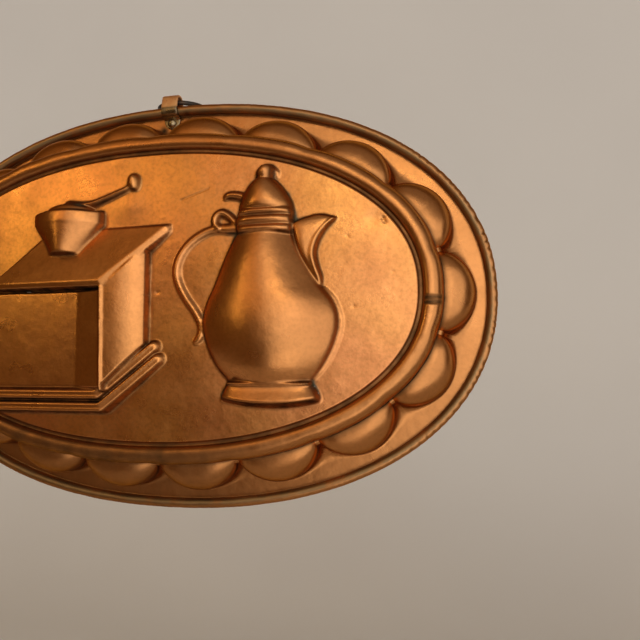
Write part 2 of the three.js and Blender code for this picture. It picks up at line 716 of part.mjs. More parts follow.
const ring = addPiece('hanging_ring', hangingRing(), iron);
ring.position.set(STRAP_X, EYE_Y, EYE_Z);
ring.rotation.x = THREE.MathUtils.degToRad(RING_LIFT_DEG);

// The origin is the middle of the strap's eye, from which the mould hangs
mould.position.set(-STRAP_X, -EYE_Y, -EYE_Z);
const hungMould = new THREE.Group();
hungMould.add(mould);

export default hungMould;
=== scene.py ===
import math

import bpy
import numpy as np
from mathutils import Matrix, Vector


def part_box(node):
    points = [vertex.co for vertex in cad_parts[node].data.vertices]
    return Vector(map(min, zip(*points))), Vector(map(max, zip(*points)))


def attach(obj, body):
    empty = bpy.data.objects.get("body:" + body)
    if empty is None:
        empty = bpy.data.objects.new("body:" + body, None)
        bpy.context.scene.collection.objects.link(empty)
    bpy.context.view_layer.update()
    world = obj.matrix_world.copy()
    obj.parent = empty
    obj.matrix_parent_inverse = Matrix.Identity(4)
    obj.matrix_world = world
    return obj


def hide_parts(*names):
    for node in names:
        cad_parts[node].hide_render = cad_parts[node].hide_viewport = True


# An oval copper mould: a pressed sheet with a coffee pot and a coffee mill raised on its field, a
# rounded ridge, eighteen lobes, a rolled rim, and a ring in a riveted strap.
# Lengths are millimetres on the oval's own axes (x right, z up, h forward from the rim's flat back)
# until place() turns them into the frame's metres. Finishes and stage are in metres from the start.

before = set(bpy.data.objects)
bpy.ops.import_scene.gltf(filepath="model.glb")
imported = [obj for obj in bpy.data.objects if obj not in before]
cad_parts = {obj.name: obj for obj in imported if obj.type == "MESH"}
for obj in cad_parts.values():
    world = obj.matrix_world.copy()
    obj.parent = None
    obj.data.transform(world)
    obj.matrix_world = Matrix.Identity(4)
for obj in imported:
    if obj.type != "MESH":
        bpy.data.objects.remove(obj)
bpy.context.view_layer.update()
shell_low, shell_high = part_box("mould_shell")
OVAL_CENTRE = np.array([(shell_low.x + shell_high.x) / 2, shell_high.y, (shell_low.z + shell_high.z) / 2])
MM = 0.001

# Camera, fitted to the outlines: millimetres from the oval's middle, and its turns in degrees
CAMERA_FROM_OVAL = (96.38, -185.88, -22.14)
CAMERA_TURNS = ((9.793, "Z"), (3.943, "X"), (0.322, "Y"), (90, "X"))
CAMERA_LENS = 25.85
CAMERA_NEAR = 0.01
SENSOR_WIDTH = 36.0

# Sheet, rolled edge and crease
SHEET = 0.6
FLANGE_WIDTH = 17.5
ROLL_RADIUS = 2.0
ROLL_START_DEG = -90
ROLL_END_DEG = 210
CREASE_HALF_LENGTH = 112.3
CREASE_HALF_WIDTH = 65.2
CREASE_POWER = 2.17

# Field, ridge and lobes
FIELD_HEIGHT = 22.6
RIDGE_WIDTH = 9.5
RIDGE_HEIGHT = 24.3
RIDGE_POWER = 2.35
VALLEY_OFFSET = 7.5
VALLEY_HEIGHT = 21.7
VALLEY_CLIMB = (1.0, 2.1)
LOBE_COUNT = 18
LOBE_REACH = 13.2
LOBE_CREST = 16.4
CUSP_REACH = 2.4
CUSP_CREST = 12.4
LOBE_SHARE = 0.95
LOBE_ROUNDNESS = 0.72
LOBE_POWER = 2.5
LOBE_FILLET = 1.5
CUSP_FILLET = 9.5
CUSP_FILLET_POWER = 1.6
LOBE_PITCH_OFFSET = 5.5
CREASE_FILLET = 0.7

# How finely the sheet is cut
FRONT_COLUMNS = 72
BACK_COLUMNS = 24
LOBE_COLUMNS_PER_GAP_COLUMN = 12
COLUMN_CROWDING = 0.85
ROLL_ROWS = 26
FLANGE_ROWS = 10
FOOT_ROWS = 9
LOBE_ROWS = 26
CREASE_DEGREES = (30, 60)
RIDGE_ROWS = 13
VALLEY_ROWS = 11
VALLEY_EDGE_ROWS = 4
FRONT_FIELD_RINGS = 200
BACK_FIELD_RINGS = 80
THINNED_AT = (0.5, 0.22)
GRID_PITCH = 0.2
GRID_HALF_LENGTH = 106
GRID_HALF_WIDTH = 60
LINE_STEPS = 10
PITCH_TABLE_STEPS = 7200

# Unevenness: a sum of waves whose lengths spread about the one given
WAVE_COUNT = 24
WAVE_SPREAD = (0.75, 1.6)


def place(x, h, z):
    """Points in the frame's metres from millimetres on the oval's axes."""
    x, h, z = np.broadcast_arrays(x, h, z)
    return np.stack([x * MM, -h * MM, z * MM], axis=-1) + OVAL_CENTRE


def add_object(name, data):
    added = bpy.data.objects.new(name, data)
    bpy.context.scene.collection.objects.link(added)
    return added


def make_object(name, points, faces):
    mesh = bpy.data.meshes.new(name)
    mesh.from_pydata(np.asarray(points, float).tolist(), [], faces)
    mesh.polygons.foreach_set("use_smooth", [True] * len(mesh.polygons))
    mesh.update()
    return add_object(name, mesh)


def waves(points, length, seed):
    """Smooth seeded unevenness from -1 to 1, about one swell every given length."""
    rng = np.random.default_rng(seed)
    directions = rng.normal(size=(WAVE_COUNT, points.shape[-1]))
    directions /= np.linalg.norm(directions, axis=1, keepdims=True)
    rates = 2 * np.pi / (length * rng.uniform(*WAVE_SPREAD, WAVE_COUNT))
    phases = rng.uniform(0, 2 * np.pi, WAVE_COUNT)
    total = np.zeros(points.shape[:-1])
    for direction, rate, phase in zip(directions, rates, phases):
        total += np.cos(rate * (points @ direction) + phase)
    return np.tanh(total / math.sqrt(2 * WAVE_COUNT))


def ramp(value, start, end):
    """A smooth step from 0 at start to 1 at end, whichever of the two is higher."""
    share = np.clip((value - start) / (end - start), 0, 1)
    return share * share * (3 - 2 * share)


# The oval from which every band is set off


def crease_point(angle):
    """Point on the crease and the outward normal there."""
    power = 2 / CREASE_POWER
    x = CREASE_HALF_LENGTH * np.sign(np.sin(angle)) * np.abs(np.sin(angle)) ** power
    z = CREASE_HALF_WIDTH * np.sign(np.cos(angle)) * np.abs(np.cos(angle)) ** power
    slope = CREASE_POWER - 1
    nx = np.sign(x) * np.abs(x / CREASE_HALF_LENGTH) ** slope / CREASE_HALF_LENGTH
    nz = np.sign(z) * np.abs(z / CREASE_HALF_WIDTH) ** slope / CREASE_HALF_WIDTH
    size = np.hypot(nx, nz)
    return x, z, nx / size, nz / size


def angles_at(turns):
    """Angles at which the lobes' pitch line has the given shares of its length. 0 is the top."""
    table = np.linspace(0, 2 * np.pi, PITCH_TABLE_STEPS + 1)
    x, z, nx, nz = crease_point(table)
    px = x + LOBE_PITCH_OFFSET * nx
    pz = z + LOBE_PITCH_OFFSET * nz
    lengths = np.concatenate([[0], np.cumsum(np.hypot(np.diff(px), np.diff(pz)))])
    return np.interp(turns * lengths[-1], lengths, table)


def column_turns(per_lobe):
    """Each column's turn round the oval and its side, from -1 at one cusp of a lobe to 1."""
    gap = per_lobe // LOBE_COLUMNS_PER_GAP_COLUMN
    even = np.linspace(-1, 1, per_lobe - 2 * gap + 1)
    crowded = np.sin(np.pi / 2 * even)
    lobe = LOBE_SHARE * (even + COLUMN_CROWDING * (crowded - even))
    before = np.linspace(-1, -LOBE_SHARE, gap, endpoint=False)
    after = np.linspace(LOBE_SHARE, 1, gap, endpoint=False)[1:]
    side = np.concatenate([before, lobe, after])
    turns = (np.arange(LOBE_COUNT)[:, None] + (side + 1) / 2).ravel() / LOBE_COUNT
    return turns, np.tile(side, LOBE_COUNT)


# The pictures, as a map of heights above the field

grid_x = np.arange(-GRID_HALF_LENGTH, GRID_HALF_LENGTH + GRID_PITCH / 2, GRID_PITCH)
grid_z = np.arange(-GRID_HALF_WIDTH, GRID_HALF_WIDTH + GRID_PITCH / 2, GRID_PITCH)
grid_rows = grid_z[:, None]
flat_map = np.zeros((len(grid_z), len(grid_x)))
BAR_MARGIN = 5
WALL_POWER = 36


def soften(heights, radius):
    """Gaussian blur of a map, by a radius in millimetres."""
    rate_z = np.fft.fftfreq(heights.shape[0], GRID_PITCH)[:, None]
    rate_x = np.fft.rfftfreq(heights.shape[1], GRID_PITCH)
    keep = np.exp(-2 * (np.pi * radius) ** 2 * (rate_x**2 + rate_z**2))
    return np.fft.irfft2(np.fft.rfft2(heights) * keep, heights.shape)


def spot(x, z, radius):
    """A soft round spot on the map, 1 in its middle."""
    return np.exp(-((grid_x - x) ** 2 + (grid_rows - z) ** 2) / radius**2)


def smooth_line(points):
    """Points along a smooth curve through the given points."""
    knots = np.array(points, float)
    knots = np.vstack([2 * knots[0] - knots[1], knots, 2 * knots[-1] - knots[-2]])
    t = np.linspace(0, 1, LINE_STEPS, endpoint=False)[:, None]
    line = []
    for a, b, c, d in zip(knots, knots[1:], knots[2:], knots[3:]):
        bend = 2 * a - 5 * b + 4 * c - d
        twist = 3 * b - a - 3 * c + d
        line.append(0.5 * (2 * b + (c - a) * t + bend * t**2 + twist * t**3))
    return np.vstack([*line, knots[-2]])


def bar(points, lift=1.0):
    """A raised rib along a smooth line of (x, z, radius). It rises lift times its radius."""
    line = smooth_line(points)
    share_out = np.full(flat_map.shape, np.inf)
    rib = flat_map.copy()
    for (ax, az, ar), (bx, bz, br) in zip(line[:-1], line[1:]):
        reach_x = [min(ax, bx) - BAR_MARGIN, max(ax, bx) + BAR_MARGIN]
        reach_z = [min(az, bz) - BAR_MARGIN, max(az, bz) + BAR_MARGIN]
        window = (slice(*np.searchsorted(grid_z, reach_z)), slice(*np.searchsorted(grid_x, reach_x)))
        px = grid_x[window[1]] - ax
        pz = grid_z[window[0], None] - az
        dx, dz = bx - ax, bz - az
        along = np.clip((px * dx + pz * dz) / (dx * dx + dz * dz), 0, 1)
        radius = ar + (br - ar) * along
        out = np.hypot(px - along * dx, pz - along * dz) / radius
        closer = out < share_out[window]
        share_out[window][closer] = out[closer]
        height = lift * radius * np.sqrt(np.clip(1 - out**2, 0, 1))
        rib[window][closer] = height[closer]
    return rib


def swell(outline, squareness=2.0, shoulder=0.5, edge=0.0, lean=0.0):
    """A form that swells between left and right edges, given at rising z as (z, left, right, rise).
    A share of its rise, edge, stands up steeply along its outline, and lean lifts its right side."""
    line = smooth_line(outline)
    left, right, rise = (np.interp(grid_z, line[:, 0], line[:, k])[:, None] for k in (1, 2, 3))
    side = np.clip((2 * grid_x - left - right) / (right - left), -1, 1)
    across = np.abs(side)
    pillow = (1 - across**squareness) ** shoulder
    wall = (1 - across**WALL_POWER) ** 0.5
    inside = (grid_z >= line[0, 0]) & (grid_z <= line[-1, 0])
    return rise * ((1 - edge) * pillow + edge * wall) * (1 + lean * side) * inside[:, None]


def slab(corners, bevels):
    """A facet, counter-clockwise, through corners of (x, z, rise). Each edge has a bevel of
    (depth, width, power) that lowers it: flat with power 1, rounded with power 2."""
    (ax, az, ah), (bx, bz, bh), (cx, cz, ch) = corners[:3]
    turn = (bx - ax) * (cz - az) - (cx - ax) * (bz - az)
    tilt_x = ((bh - ah) * (cz - az) - (ch - ah) * (bz - az)) / turn
    tilt_z = ((bx - ax) * (ch - ah) - (cx - ax) * (bh - ah)) / turn
    plane = ah + tilt_x * (grid_x - ax) + tilt_z * (grid_rows - az)
    height = plane
    for start, end, (depth, width, power) in zip(corners, corners[1:] + corners[:1], bevels):
        run, climb = end[0] - start[0], end[1] - start[1]
        inside = (run * (grid_rows - start[1]) - climb * (grid_x - start[0])) / math.hypot(run, climb)
        lowered = plane - depth * np.clip(1 - inside / width, 0, 1) ** power
        height = np.where(inside > 0, np.minimum(height, lowered), 0)
    return np.maximum(height, 0)


# Coffee pot, with outlines of (z, left, right, rise) and lines of (x, z, radius)
POT_FOOT = [
    (-42.4, 31.2, 67.9, 5.4), (-40, 30.8, 68.3, 6.0), (-38.6, 31.2, 68.0, 5.6),
    (-36, 32.2, 66.8, 4.6), (-34, 33.4, 65.4, 4.2), (-32.8, 34.0, 64.8, 4.2),
]
POT_FOOT_SIDE_Z = -40.3
POT_FOOT_MIDDLE_Z = -42.5
POT_FOOT_UNDERSIDE = 2.7
POT_FOOT_OVERLAP = 0.3
POT_WAIST_RING = [(34.6, -33.0, 0.9), (49, -33.4, 0.9), (64.4, -32.8, 0.9)]
POT_WAIST_RING_BASE = 4.1
POT_BODY = [
    (-33.8, 34.6, 63.8, 4.2), (-32.4, 33.4, 65.2, 5.0), (-27, 28.9, 69.3, 7.4),
    (-19.4, 25.2, 73.2, 8.9), (-11, 23.5, 75.0, 9.4), (-4, 24.9, 73.1, 9.1), (3, 28.1, 67.8, 8.4),
    (12.5, 31.9, 62.3, 7.0), (19.8, 35.4, 58.8, 5.6), (22.6, 37.0, 58.2, 5.0),
]
COLLAR = [
    (21.2, 37.3, 58.3, 4.0), (25, 36.7, 58.6, 4.0), (28.4, 37.1, 58.6, 4.0), (31.2, 38.0, 58.3, 4.0),
]
COLLAR_GROOVES = (21.4, 24.5, 28.0, 30.7)
COLLAR_BULGE = 2.0
POT_LID = [
    (30.7, 37.8, 58.5, 6.0), (33, 38.0, 57.8, 6.4), (36, 39.1, 56.3, 6.2), (39, 40.6, 54.2, 5.6),
    (41, 42.2, 52.4, 4.8), (42.2, 43.6, 51.2, 4.0), (43.0, 44.6, 50.4, 3.2),
]
POT_KNOB = [
    (41.8, 46.0, 50.2, 3.6), (43, 44.8, 51.0, 4.4), (44.6, 44.4, 51.4, 4.8), (46.2, 45.0, 51.4, 4.6),
    (47.3, 46.4, 50.8, 3.6), (48.0, 48.0, 49.6, 2.2),
]
POT_KNOB_CURL = [(51.2, 46.4, 0.6), (52.3, 45.0, 0.6), (52.2, 43.4, 0.5)]
POT_SPOUT = [
    (2.0, 66.9, 69.2, 2.0), (5.0, 65.6, 69.0, 3.2), (8.1, 64.2, 68.0, 4.0), (10.2, 63.1, 67.4, 4.4),
    (13.9, 61.2, 66.9, 4.8), (18.6, 59.5, 68.2, 4.9), (22.9, 58.5, 70.9, 4.6), (25.2, 58.6, 73.4, 4.0),
    (26.4, 61.0, 74.4, 3.4), (27.2, 63.8, 72.2, 2.8), (27.9, 66.4, 69.8, 2.2),
]
POT_SPOUT_LIFT = 0.62
POT_SPOUT_LIP = [
    (73.4, 25.7, 1.0), (70.2, 22.4, 1.2), (67.4, 18.4, 1.3), (66.1, 13.9, 1.3), (66.5, 10.2, 1.2),
    (68.1, 5.0, 1.1), (70.8, -1.0, 0.8),
]
POT_SPOUT_LIP_FROM = 0.5
POT_SEAM = [
    (69.9, 1.0, 0.5), (73.6, -3.5, 0.6), (75.9, -11, 0.6), (74.1, -19.4, 0.6), (70.0, -27.2, 0.6),
    (66.0, -32.0, 0.5),
]
POT_HANDLE = [
    (38.0, 24.6, 2.3), (34.0, 24.4, 2.0), (30.0, 24.5, 1.6), (26.4, 24.2, 1.5), (23.1, 23.0, 1.5),
    (18.8, 20.4, 1.5), (15.0, 16.4, 1.55), (12.8, 11.6, 1.6), (12.5, 7.4, 1.6), (13.9, 3.0, 1.55),
    (16.7, -1.9, 1.5), (19.9, -6.3, 1.5), (22.3, -10.5, 1.5), (23.0, -13.9, 1.5), (22.3, -16.4, 1.5),
    (20.9, -18.0, 1.2),
]
POT_HANDLE_EYE = [
    (29.6, 24.6, 1.4), (28.1, 26.6, 1.4), (28.4, 29.2, 1.5), (30.6, 30.6, 1.5), (33.2, 29.5, 1.4),
    (35.3, 27.5, 1.4), (37.2, 25.8, 1.5),
]
POT_THUMB_REST = [(39.8, 36.2, 1.5), (36.2, 37.1, 1.5), (33.2, 37.2, 1.3), (31.9, 36.4, 0.8)]


def coffee_pot():
    foot = swell(POT_FOOT, squareness=4, edge=0.3)
    foot_left, foot_right = POT_FOOT[0][1:3]
    across = np.clip(2 * (grid_x - foot_left) / (foot_right - foot_left) - 1, -1, 1)
    edge = POT_FOOT_SIDE_Z + (POT_FOOT_MIDDLE_Z - POT_FOOT_SIDE_Z) * (1 - across**2)
    foot *= ramp(grid_rows, edge - POT_FOOT_OVERLAP, edge + POT_FOOT_UNDERSIDE)
    body = swell(POT_BODY, shoulder=1.0, edge=0.2)
    ring = bar(POT_WAIST_RING, lift=0.7)
    ring = np.where(ring > 0, ring + POT_WAIST_RING_BASE, 0)
    pot = np.maximum.reduce([foot, body, ring * (foot > 0)])

    bulge = np.zeros(len(grid_z))
    for low, high in zip(COLLAR_GROOVES, COLLAR_GROOVES[1:]):
        share = np.clip((grid_z - low) / (high - low), 0, 1)
        bulge += np.sqrt(np.clip(4 * share * (1 - share), 0, 1))
    collar = swell(COLLAR, squareness=3, edge=0.3)
    collar *= 1 + bulge[:, None] * COLLAR_BULGE / COLLAR[0][3]
    lid = swell(POT_LID, squareness=2.2, shoulder=0.8, edge=0.25)
    knob = swell(POT_KNOB, squareness=2.2)
    curl = bar(POT_KNOB_CURL, lift=1.4)
    spout = POT_SPOUT_LIFT * swell(POT_SPOUT, squareness=3, shoulder=1.0, edge=0.7, lean=-0.1)
    spout += bar(POT_SPOUT_LIP, lift=0.5) * (spout > POT_SPOUT_LIP_FROM)
    seam = bar(POT_SEAM)
    handle = bar(POT_HANDLE, lift=0.85)
    eye = bar(POT_HANDLE_EYE, lift=1.4)
    thumb_rest = bar(POT_THUMB_REST, lift=1.3)
    return np.maximum.reduce([pot, seam, collar, lid, knob, curl, spout, handle, eye, thumb_rest])


# Coffee mill, in oblique view with its right side receding
MILL_CORNER_X = -15.5
MILL_FRONT_WIDTH = 50
MILL_FRONT_TOP_Z = 3
MILL_FRONT_BOTTOM_Z = -36.2
MILL_FRONT_RISE = 3.2
MILL_FRONT_FALL = 0.28
MILL_SIDE_RUN = 16.5
MILL_SIDE_CLIMB = 17.2
MILL_CORNER_RISE = 6.8
MILL_SIDE_RISE = 5.6
MILL_TOP_LEFT_OVERHANG = 3.5
MILL_TOP_RIGHT_OVERHANG = 0.4
MILL_TOP_FAR_OVERHANG = 8.1
MILL_TOP_BACK_OVERHANG = 4.3
MILL_TOP_THICKNESS = 3.2
MILL_TOP_FRONT_RISE = 8.4
MILL_TOP_LEFT_RISE = 6.2
MILL_TOP_BACK_RISE = 2.4
MILL_PILASTER = [
    (-36.4, -15.6, -13.6, 7.0), (-30, -15.8, -13.8, 7.3), (0, -16.4, -14.4, 7.5),
    (3.4, -16.5, -14.5, 7.5),
]
MILL_PILASTER_UNDERLAP = 0.9
MILL_BAR_RADIUS = 2.3
MILL_BAR_LIFT = 0.7
MILL_BAR_LINE_RADIUS = 0.7
MILL_BAR_LINE_OFFSET = 1.2
MILL_BAR_LINE_LIFT = 0.5
MILL_BAR_OVERHANG = 2
MILL_BAR_CORNERS = [(-17.5, -37.8), (-15.8, -42.6)]
MILL_BAR_BASE = (3.4, 0.6)
MILL_BAR_RUN = 21.5
MILL_BAR_CLIMB = 17.9

# Bevels, one for each edge
MILL_WALL = (9, 0.9, 1)
MILL_SIDE_BEVELS = [(0.5, 0.6, 1), (3.4, 17, 3), MILL_WALL, MILL_WALL]
MILL_TOP_BEVELS = [(1.4, 2.4, 1), (1.3, 2.6, 1), (1.0, 1.2, 1), (1.6, 0.8, 1), (2, 1, 1)]

HOPPER = [
    (17.0, -41.5, -26.6, 7.0), (21, -43.6, -24.6, 7.4), (28.0, -48.4, -19.5, 8.0),
    (29.6, -49, -18.9, 8.2), (33.4, -49, -18.9, 8.0), (34.0, -48.6, -19.3, 7.4),
]
HOPPER_CAP = [
    (33.4, -43.6, -23.4, 6.6), (35.4, -43.2, -23.8, 6.0), (36.6, -40.4, -26.6, 5.0),
    (37.4, -37, -30, 3.4),
]
CRANK = [
    (-35, 37.8, 1.5), (-29, 37.2, 1.4), (-24.2, 37.5, 1.35), (-19.4, 38.9, 1.3), (-14.5, 40.6, 1.25),
    (-9.9, 42.2, 1.15), (-7.6, 43.6, 1.1), (-6.8, 45.4, 1.0),
]
CRANK_RIDGE_RADIUS = 0.45
CRANK_RIDGE = [(x, z, CRANK_RIDGE_RADIUS) for x, z, radius in CRANK]
CRANK_KNOB = [
    (41.9, -6.6, -4.7, 1.6), (42.8, -7.8, -4.0, 2.2), (44.6, -8.7, -3.7, 2.6), (46.8, -8.6, -3.9, 2.6),
    (48.0, -7.9, -4.8, 2.0), (48.6, -6.9, -5.8, 1.4),
]


def mill_front(left_rise, right_rise):
    left = MILL_CORNER_X - MILL_FRONT_WIDTH
    right = MILL_CORNER_X + MILL_PILASTER_UNDERLAP
    bottom, top = MILL_FRONT_BOTTOM_Z, MILL_FRONT_TOP_Z
    return slab([
        (left, bottom, left_rise), (right, bottom, right_rise),
        (right, top, right_rise), (left, top, left_rise),
    ], [MILL_WALL] * 4)


def mill_case():
    fall = MILL_FRONT_FALL * MILL_FRONT_WIDTH
    front = mill_front(MILL_FRONT_RISE, MILL_FRONT_RISE)
    near_corner = mill_front(MILL_CORNER_RISE - fall, MILL_CORNER_RISE)
    near = MILL_CORNER_X - MILL_PILASTER_UNDERLAP
    far = MILL_CORNER_X + MILL_SIDE_RUN
    bottom, top = MILL_FRONT_BOTTOM_Z, MILL_FRONT_TOP_Z
    side = slab([
        (near, bottom, MILL_CORNER_RISE), (far, bottom + MILL_SIDE_CLIMB, MILL_SIDE_RISE),
        (far, top + MILL_SIDE_CLIMB, MILL_SIDE_RISE), (near, top, MILL_CORNER_RISE),
    ], MILL_SIDE_BEVELS)
    pilaster = swell(MILL_PILASTER, squareness=4)
    return np.maximum.reduce([front, near_corner, side, pilaster])


def mill_top():
    left = MILL_CORNER_X - MILL_FRONT_WIDTH - MILL_TOP_LEFT_OVERHANG
    right = MILL_CORNER_X + MILL_TOP_RIGHT_OVERHANG
    front = MILL_FRONT_TOP_Z
    back = front + MILL_TOP_THICKNESS + MILL_SIDE_CLIMB + MILL_TOP_BACK_OVERHANG
    run = MILL_SIDE_RUN + MILL_TOP_FAR_OVERHANG
    return slab([
        (left, front, MILL_TOP_LEFT_RISE), (right, front, MILL_TOP_FRONT_RISE),
        (right + run, back - MILL_TOP_THICKNESS, MILL_TOP_BACK_RISE),
        (right + run, back, MILL_TOP_BACK_RISE), (left + run, back, MILL_TOP_LEFT_RISE),
    ], MILL_TOP_BEVELS)


def mill_bar(corner_x, corner_z, shift, radius, lift):
    """A bar along the foot of the front and up the side, set off from its line by shift."""
    aside = shift * math.sqrt(0.5)
    left = (MILL_CORNER_X - MILL_FRONT_WIDTH - MILL_BAR_OVERHANG, corner_z + shift, radius)
    corner = (corner_x - aside, corner_z + shift, radius)
    end = (corner_x + MILL_BAR_RUN - aside, corner_z + MILL_BAR_CLIMB + aside, radius)
    return np.maximum(bar([left, corner], lift), bar([corner, end], lift))


def mill_base():
    bars = []
    for corner_x, corner_z in MILL_BAR_CORNERS:
        moulding = mill_bar(corner_x, corner_z, 0, MILL_BAR_RADIUS, MILL_BAR_LIFT)
        base = np.interp(grid_x, (corner_x, corner_x + MILL_BAR_RUN), MILL_BAR_BASE)
        moulding += base * (moulding > 0)
        for shift in (-MILL_BAR_LINE_OFFSET, MILL_BAR_LINE_OFFSET):
            line = mill_bar(corner_x, corner_z, shift, MILL_BAR_LINE_RADIUS, MILL_BAR_LINE_LIFT)
            moulding += line * (moulding > 0)
        bars.append(moulding)
    return np.maximum.reduce(bars)


def coffee_mill():
    hopper = swell(HOPPER, shoulder=1.0, edge=0.28)
    cap = swell(HOPPER_CAP)
    crank = bar(CRANK, lift=1.2) + bar(CRANK_RIDGE, lift=1.2)
    knob = swell(CRANK_KNOB, shoulder=1.0, edge=0.35)
    return np.maximum.reduce([mill_case(), mill_top(), mill_base(), hopper, cap, crank, knob])


# How the pictures sit in the field, and its dents of (x, z, radius, depth)
EDGE_SOFTNESS = 0.3
SINK_RADIUS = 5.0
SINK_DEPTH = 0.5
DENTS = [
    (88.4, 26.0, 2.6, 0.25), (91.2, 25.6, 0.7, 0.4), (91.8, 24.2, 0.6, 0.3), (78.5, 19.7, 0.5, 0.2),
    (94.5, 6.2, 0.5, 0.15), (80.4, -5.9, 0.7, 0.15), (4.4, 1.0, 0.8, 0.15),
    (-8.5, 37.0, 6.0, -0.5), (-12.5, 55.5, 4.5, -0.35),
]
SCRATCH = [(13.6, 36.8, 0.35), (25.0, 40.8, 0.35)]
SCRATCH_DEPTH = 0.35


def picture_map():
    pictures = soften(np.maximum(coffee_pot(), coffee_mill()), EDGE_SOFTNESS)
    sunk = soften(pictures, SINK_RADIUS)
    heights = pictures - SINK_DEPTH * sunk / sunk.max() * np.exp(-pictures)
    for x, z, radius, depth in DENTS:
        heights -= depth * spot(x, z, radius)
    return heights - bar(SCRATCH, SCRATCH_DEPTH)


# Darkening of the field's pictures: dirt and painted shade in hollows, painted shade on steep walls
HOLLOW_RADIUS = 0.8
HOLLOW_FROM = 0.06
HOLLOW_SPAN = 0.5
HOLLOW_DIRT_AND_SHADE = 0.75
WALL_SLOPES = (0.6, 1.6)
WALL_SHADE = 0.9
FACING_RIGHT = (0.3, 0.8)
LESS_WALL_SHADE_FACING_RIGHT = 0.45
LEAST_SLOPE = 0.01


def dirt_and_shade_map(heights):
    """Dirt and painted shade in hollows, and painted shade on steep walls, less on those that face right,
    towards the light.
    """
    hollow = np.clip((soften(heights, HOLLOW_RADIUS) - heights - HOLLOW_FROM) / HOLLOW_SPAN, 0, 1)
    climb_z, climb_x = np.gradient(heights, GRID_PITCH)
    slope = np.hypot(climb_x, climb_z)
    facing_right = ramp(-climb_x / np.maximum(slope, LEAST_SLOPE), *FACING_RIGHT)
    # Painted shade on steep walls, less where they face right, towards the light
    walls = ramp(slope, *WALL_SLOPES) * (1 - LESS_WALL_SHADE_FACING_RIGHT * facing_right)
    return np.maximum(HOLLOW_DIRT_AND_SHADE * hollow, WALL_SHADE * walls)


def behind_map(heights):
    """The sheet's other face: a map one sheet thickness behind, measured square to the surface."""
    steps = int(SHEET / GRID_PITCH)
    behind = np.full(heights.shape, np.inf)
    for i in range(-steps, steps + 1):
        for j in range(-steps, steps + 1):
            out = math.hypot(i, j) * GRID_PITCH
            if out <= SHEET:
                moved = np.roll(heights, (i, j), (0, 1)) - math.sqrt(SHEET**2 - out**2)
                behind = np.minimum(behind, moved)
    return behind


LAST_CELL = 1.001


def sample(values, x, z):
    """Values of a map at points, evened out between the grid's lines."""
    column = np.clip((x - grid_x[0]) / GRID_PITCH, 0, len(grid_x) - LAST_CELL)
    row = np.clip((z - grid_z[0]) / GRID_PITCH, 0, len(grid_z) - LAST_CELL)
    i, j = row.astype(int), column.astype(int)
    u, v = column - j, row - i
    low = values[i, j] * (1 - u) + values[i, j + 1] * u
    high = values[i + 1, j] * (1 - u) + values[i + 1, j + 1] * u
    return low * (1 - v) + high * v


RESIDUE_SPOTS = [
    (52.4, 44.6, 2.6), (41.4, 42.6, 2.2), (35.4, 31.4, 2.4), (35.0, 21.0, 2.6), (60.0, 27.6, 2.8),
    (30.4, -37.5, 2.4), (66.6, -34.0, 2.6), (-28.4, 36.6, 2.6), (57.6, 37.0, 1.6), (24.6, -8.0, 1.6),
]
RESIDUE_ON_FIELD = 0.06
RESIDUE_IN_CREVICES = 1.2


def residue_map(dirt_and_shade):
    spots = sum(spot(x, z, radius) for x, z, radius in RESIDUE_SPOTS)
    return np.clip(spots * (RESIDUE_ON_FIELD + RESIDUE_IN_CREVICES * dirt_and_shade), 0, 1)


# The border: rolled edge, flange, lobes and ridge

CRINKLE_PITCH = 3.3
CRINKLE_DEPTH = 0.7
CRINKLE_TURN = 0.255
CRINKLE_SPREAD = 0.08
CRINKLE_CREST_DEG = 45
CRINKLE_REACH_DEG = 40
CRINKLE_SHARPNESS = 4
CRINKLE_LEAST = 0.12
CRINKLE_MEAN = 0.75
CRINKLE_SWING = 0.35
CRINKLE_SWING_WAVES = {"length": 7, "seed": 8}
CRINKLE_DRIFT = 0.9
CRINKLE_DRIFT_WAVES = {"length": 16, "seed": 3}
RIM_LENGTH = 690
ROLL_UNEVENNESS = 0.05
ROLL_UNEVEN_FROM_DEG = -60
ROLL_WAVE_TWIST = 0.05
ROLL_WAVES = {"length": 9, "seed": 5}
LIP_ROWS = [(FLANGE_WIDTH + 0.45, SHEET + 0.25), (FLANGE_WIDTH + 0.35, SHEET + 0.04)]

# The rim's own colour, from 0 to 1, and where round the roll it changes
CROWN_RIM_TINT = 0.15
BACK_RIM_TINT = 0.6
FRONT_RIM_TINT = 0.1
LIP_RIM_TINT = 0.6
INNER_SIDE_DEG = (70, 110)
OUTER_SIDE_DEG = (-10, 35)

# Dirt and painted shade from 0 to 1, and where each stretch of it changes
# Painted shade where the curl tucks down to the flange
CURL_SEAM_SHADE = 0.45
CURL_SEAM_SHADE_DEG = (160, 200)
ROLL_BACK_GRIME = 0.12
# Painted shade in the notches of the crinkled crest
CRINKLE_NOTCH_SHADE = 0.6
# Painted shade under the curl's lip and on the flange's edge beside it
LIP_SHADE = 0.6
FLANGE_END_SHADE = 0.3
# Painted shade in the fillet at each lobe's foot and on its lower outer wall
LOBE_FOOT_SHADE = 0.65
LOBE_FOOT_SHADE_POWER = 5
LOBE_WALL_SHADE = 0.85
LOBE_WALL_SHADE_SHARES = (0.42, 0)
LOBE_TOP_GRIME = 0.6
LOBE_TOP_GRIME_SHARES = (0.94, 1)
CREASE_GRIME = 0.9
# Painted shade at the ridge's outer foot, and down its inner side into the valley
RIDGE_FOOT_SHADE = 0.75
RIDGE_FOOT_SHADE_ANGLES = (0.7, 0)
VALLEY_SHADE = 0.7
VALLEY_SHADE_ANGLES = (0.5, 1.35)


def fill_rows(rows, columns):
    """The same rows with each single number repeated for every column."""
    return [np.broadcast_arrays(*row, columns)[:-1] for row in rows]


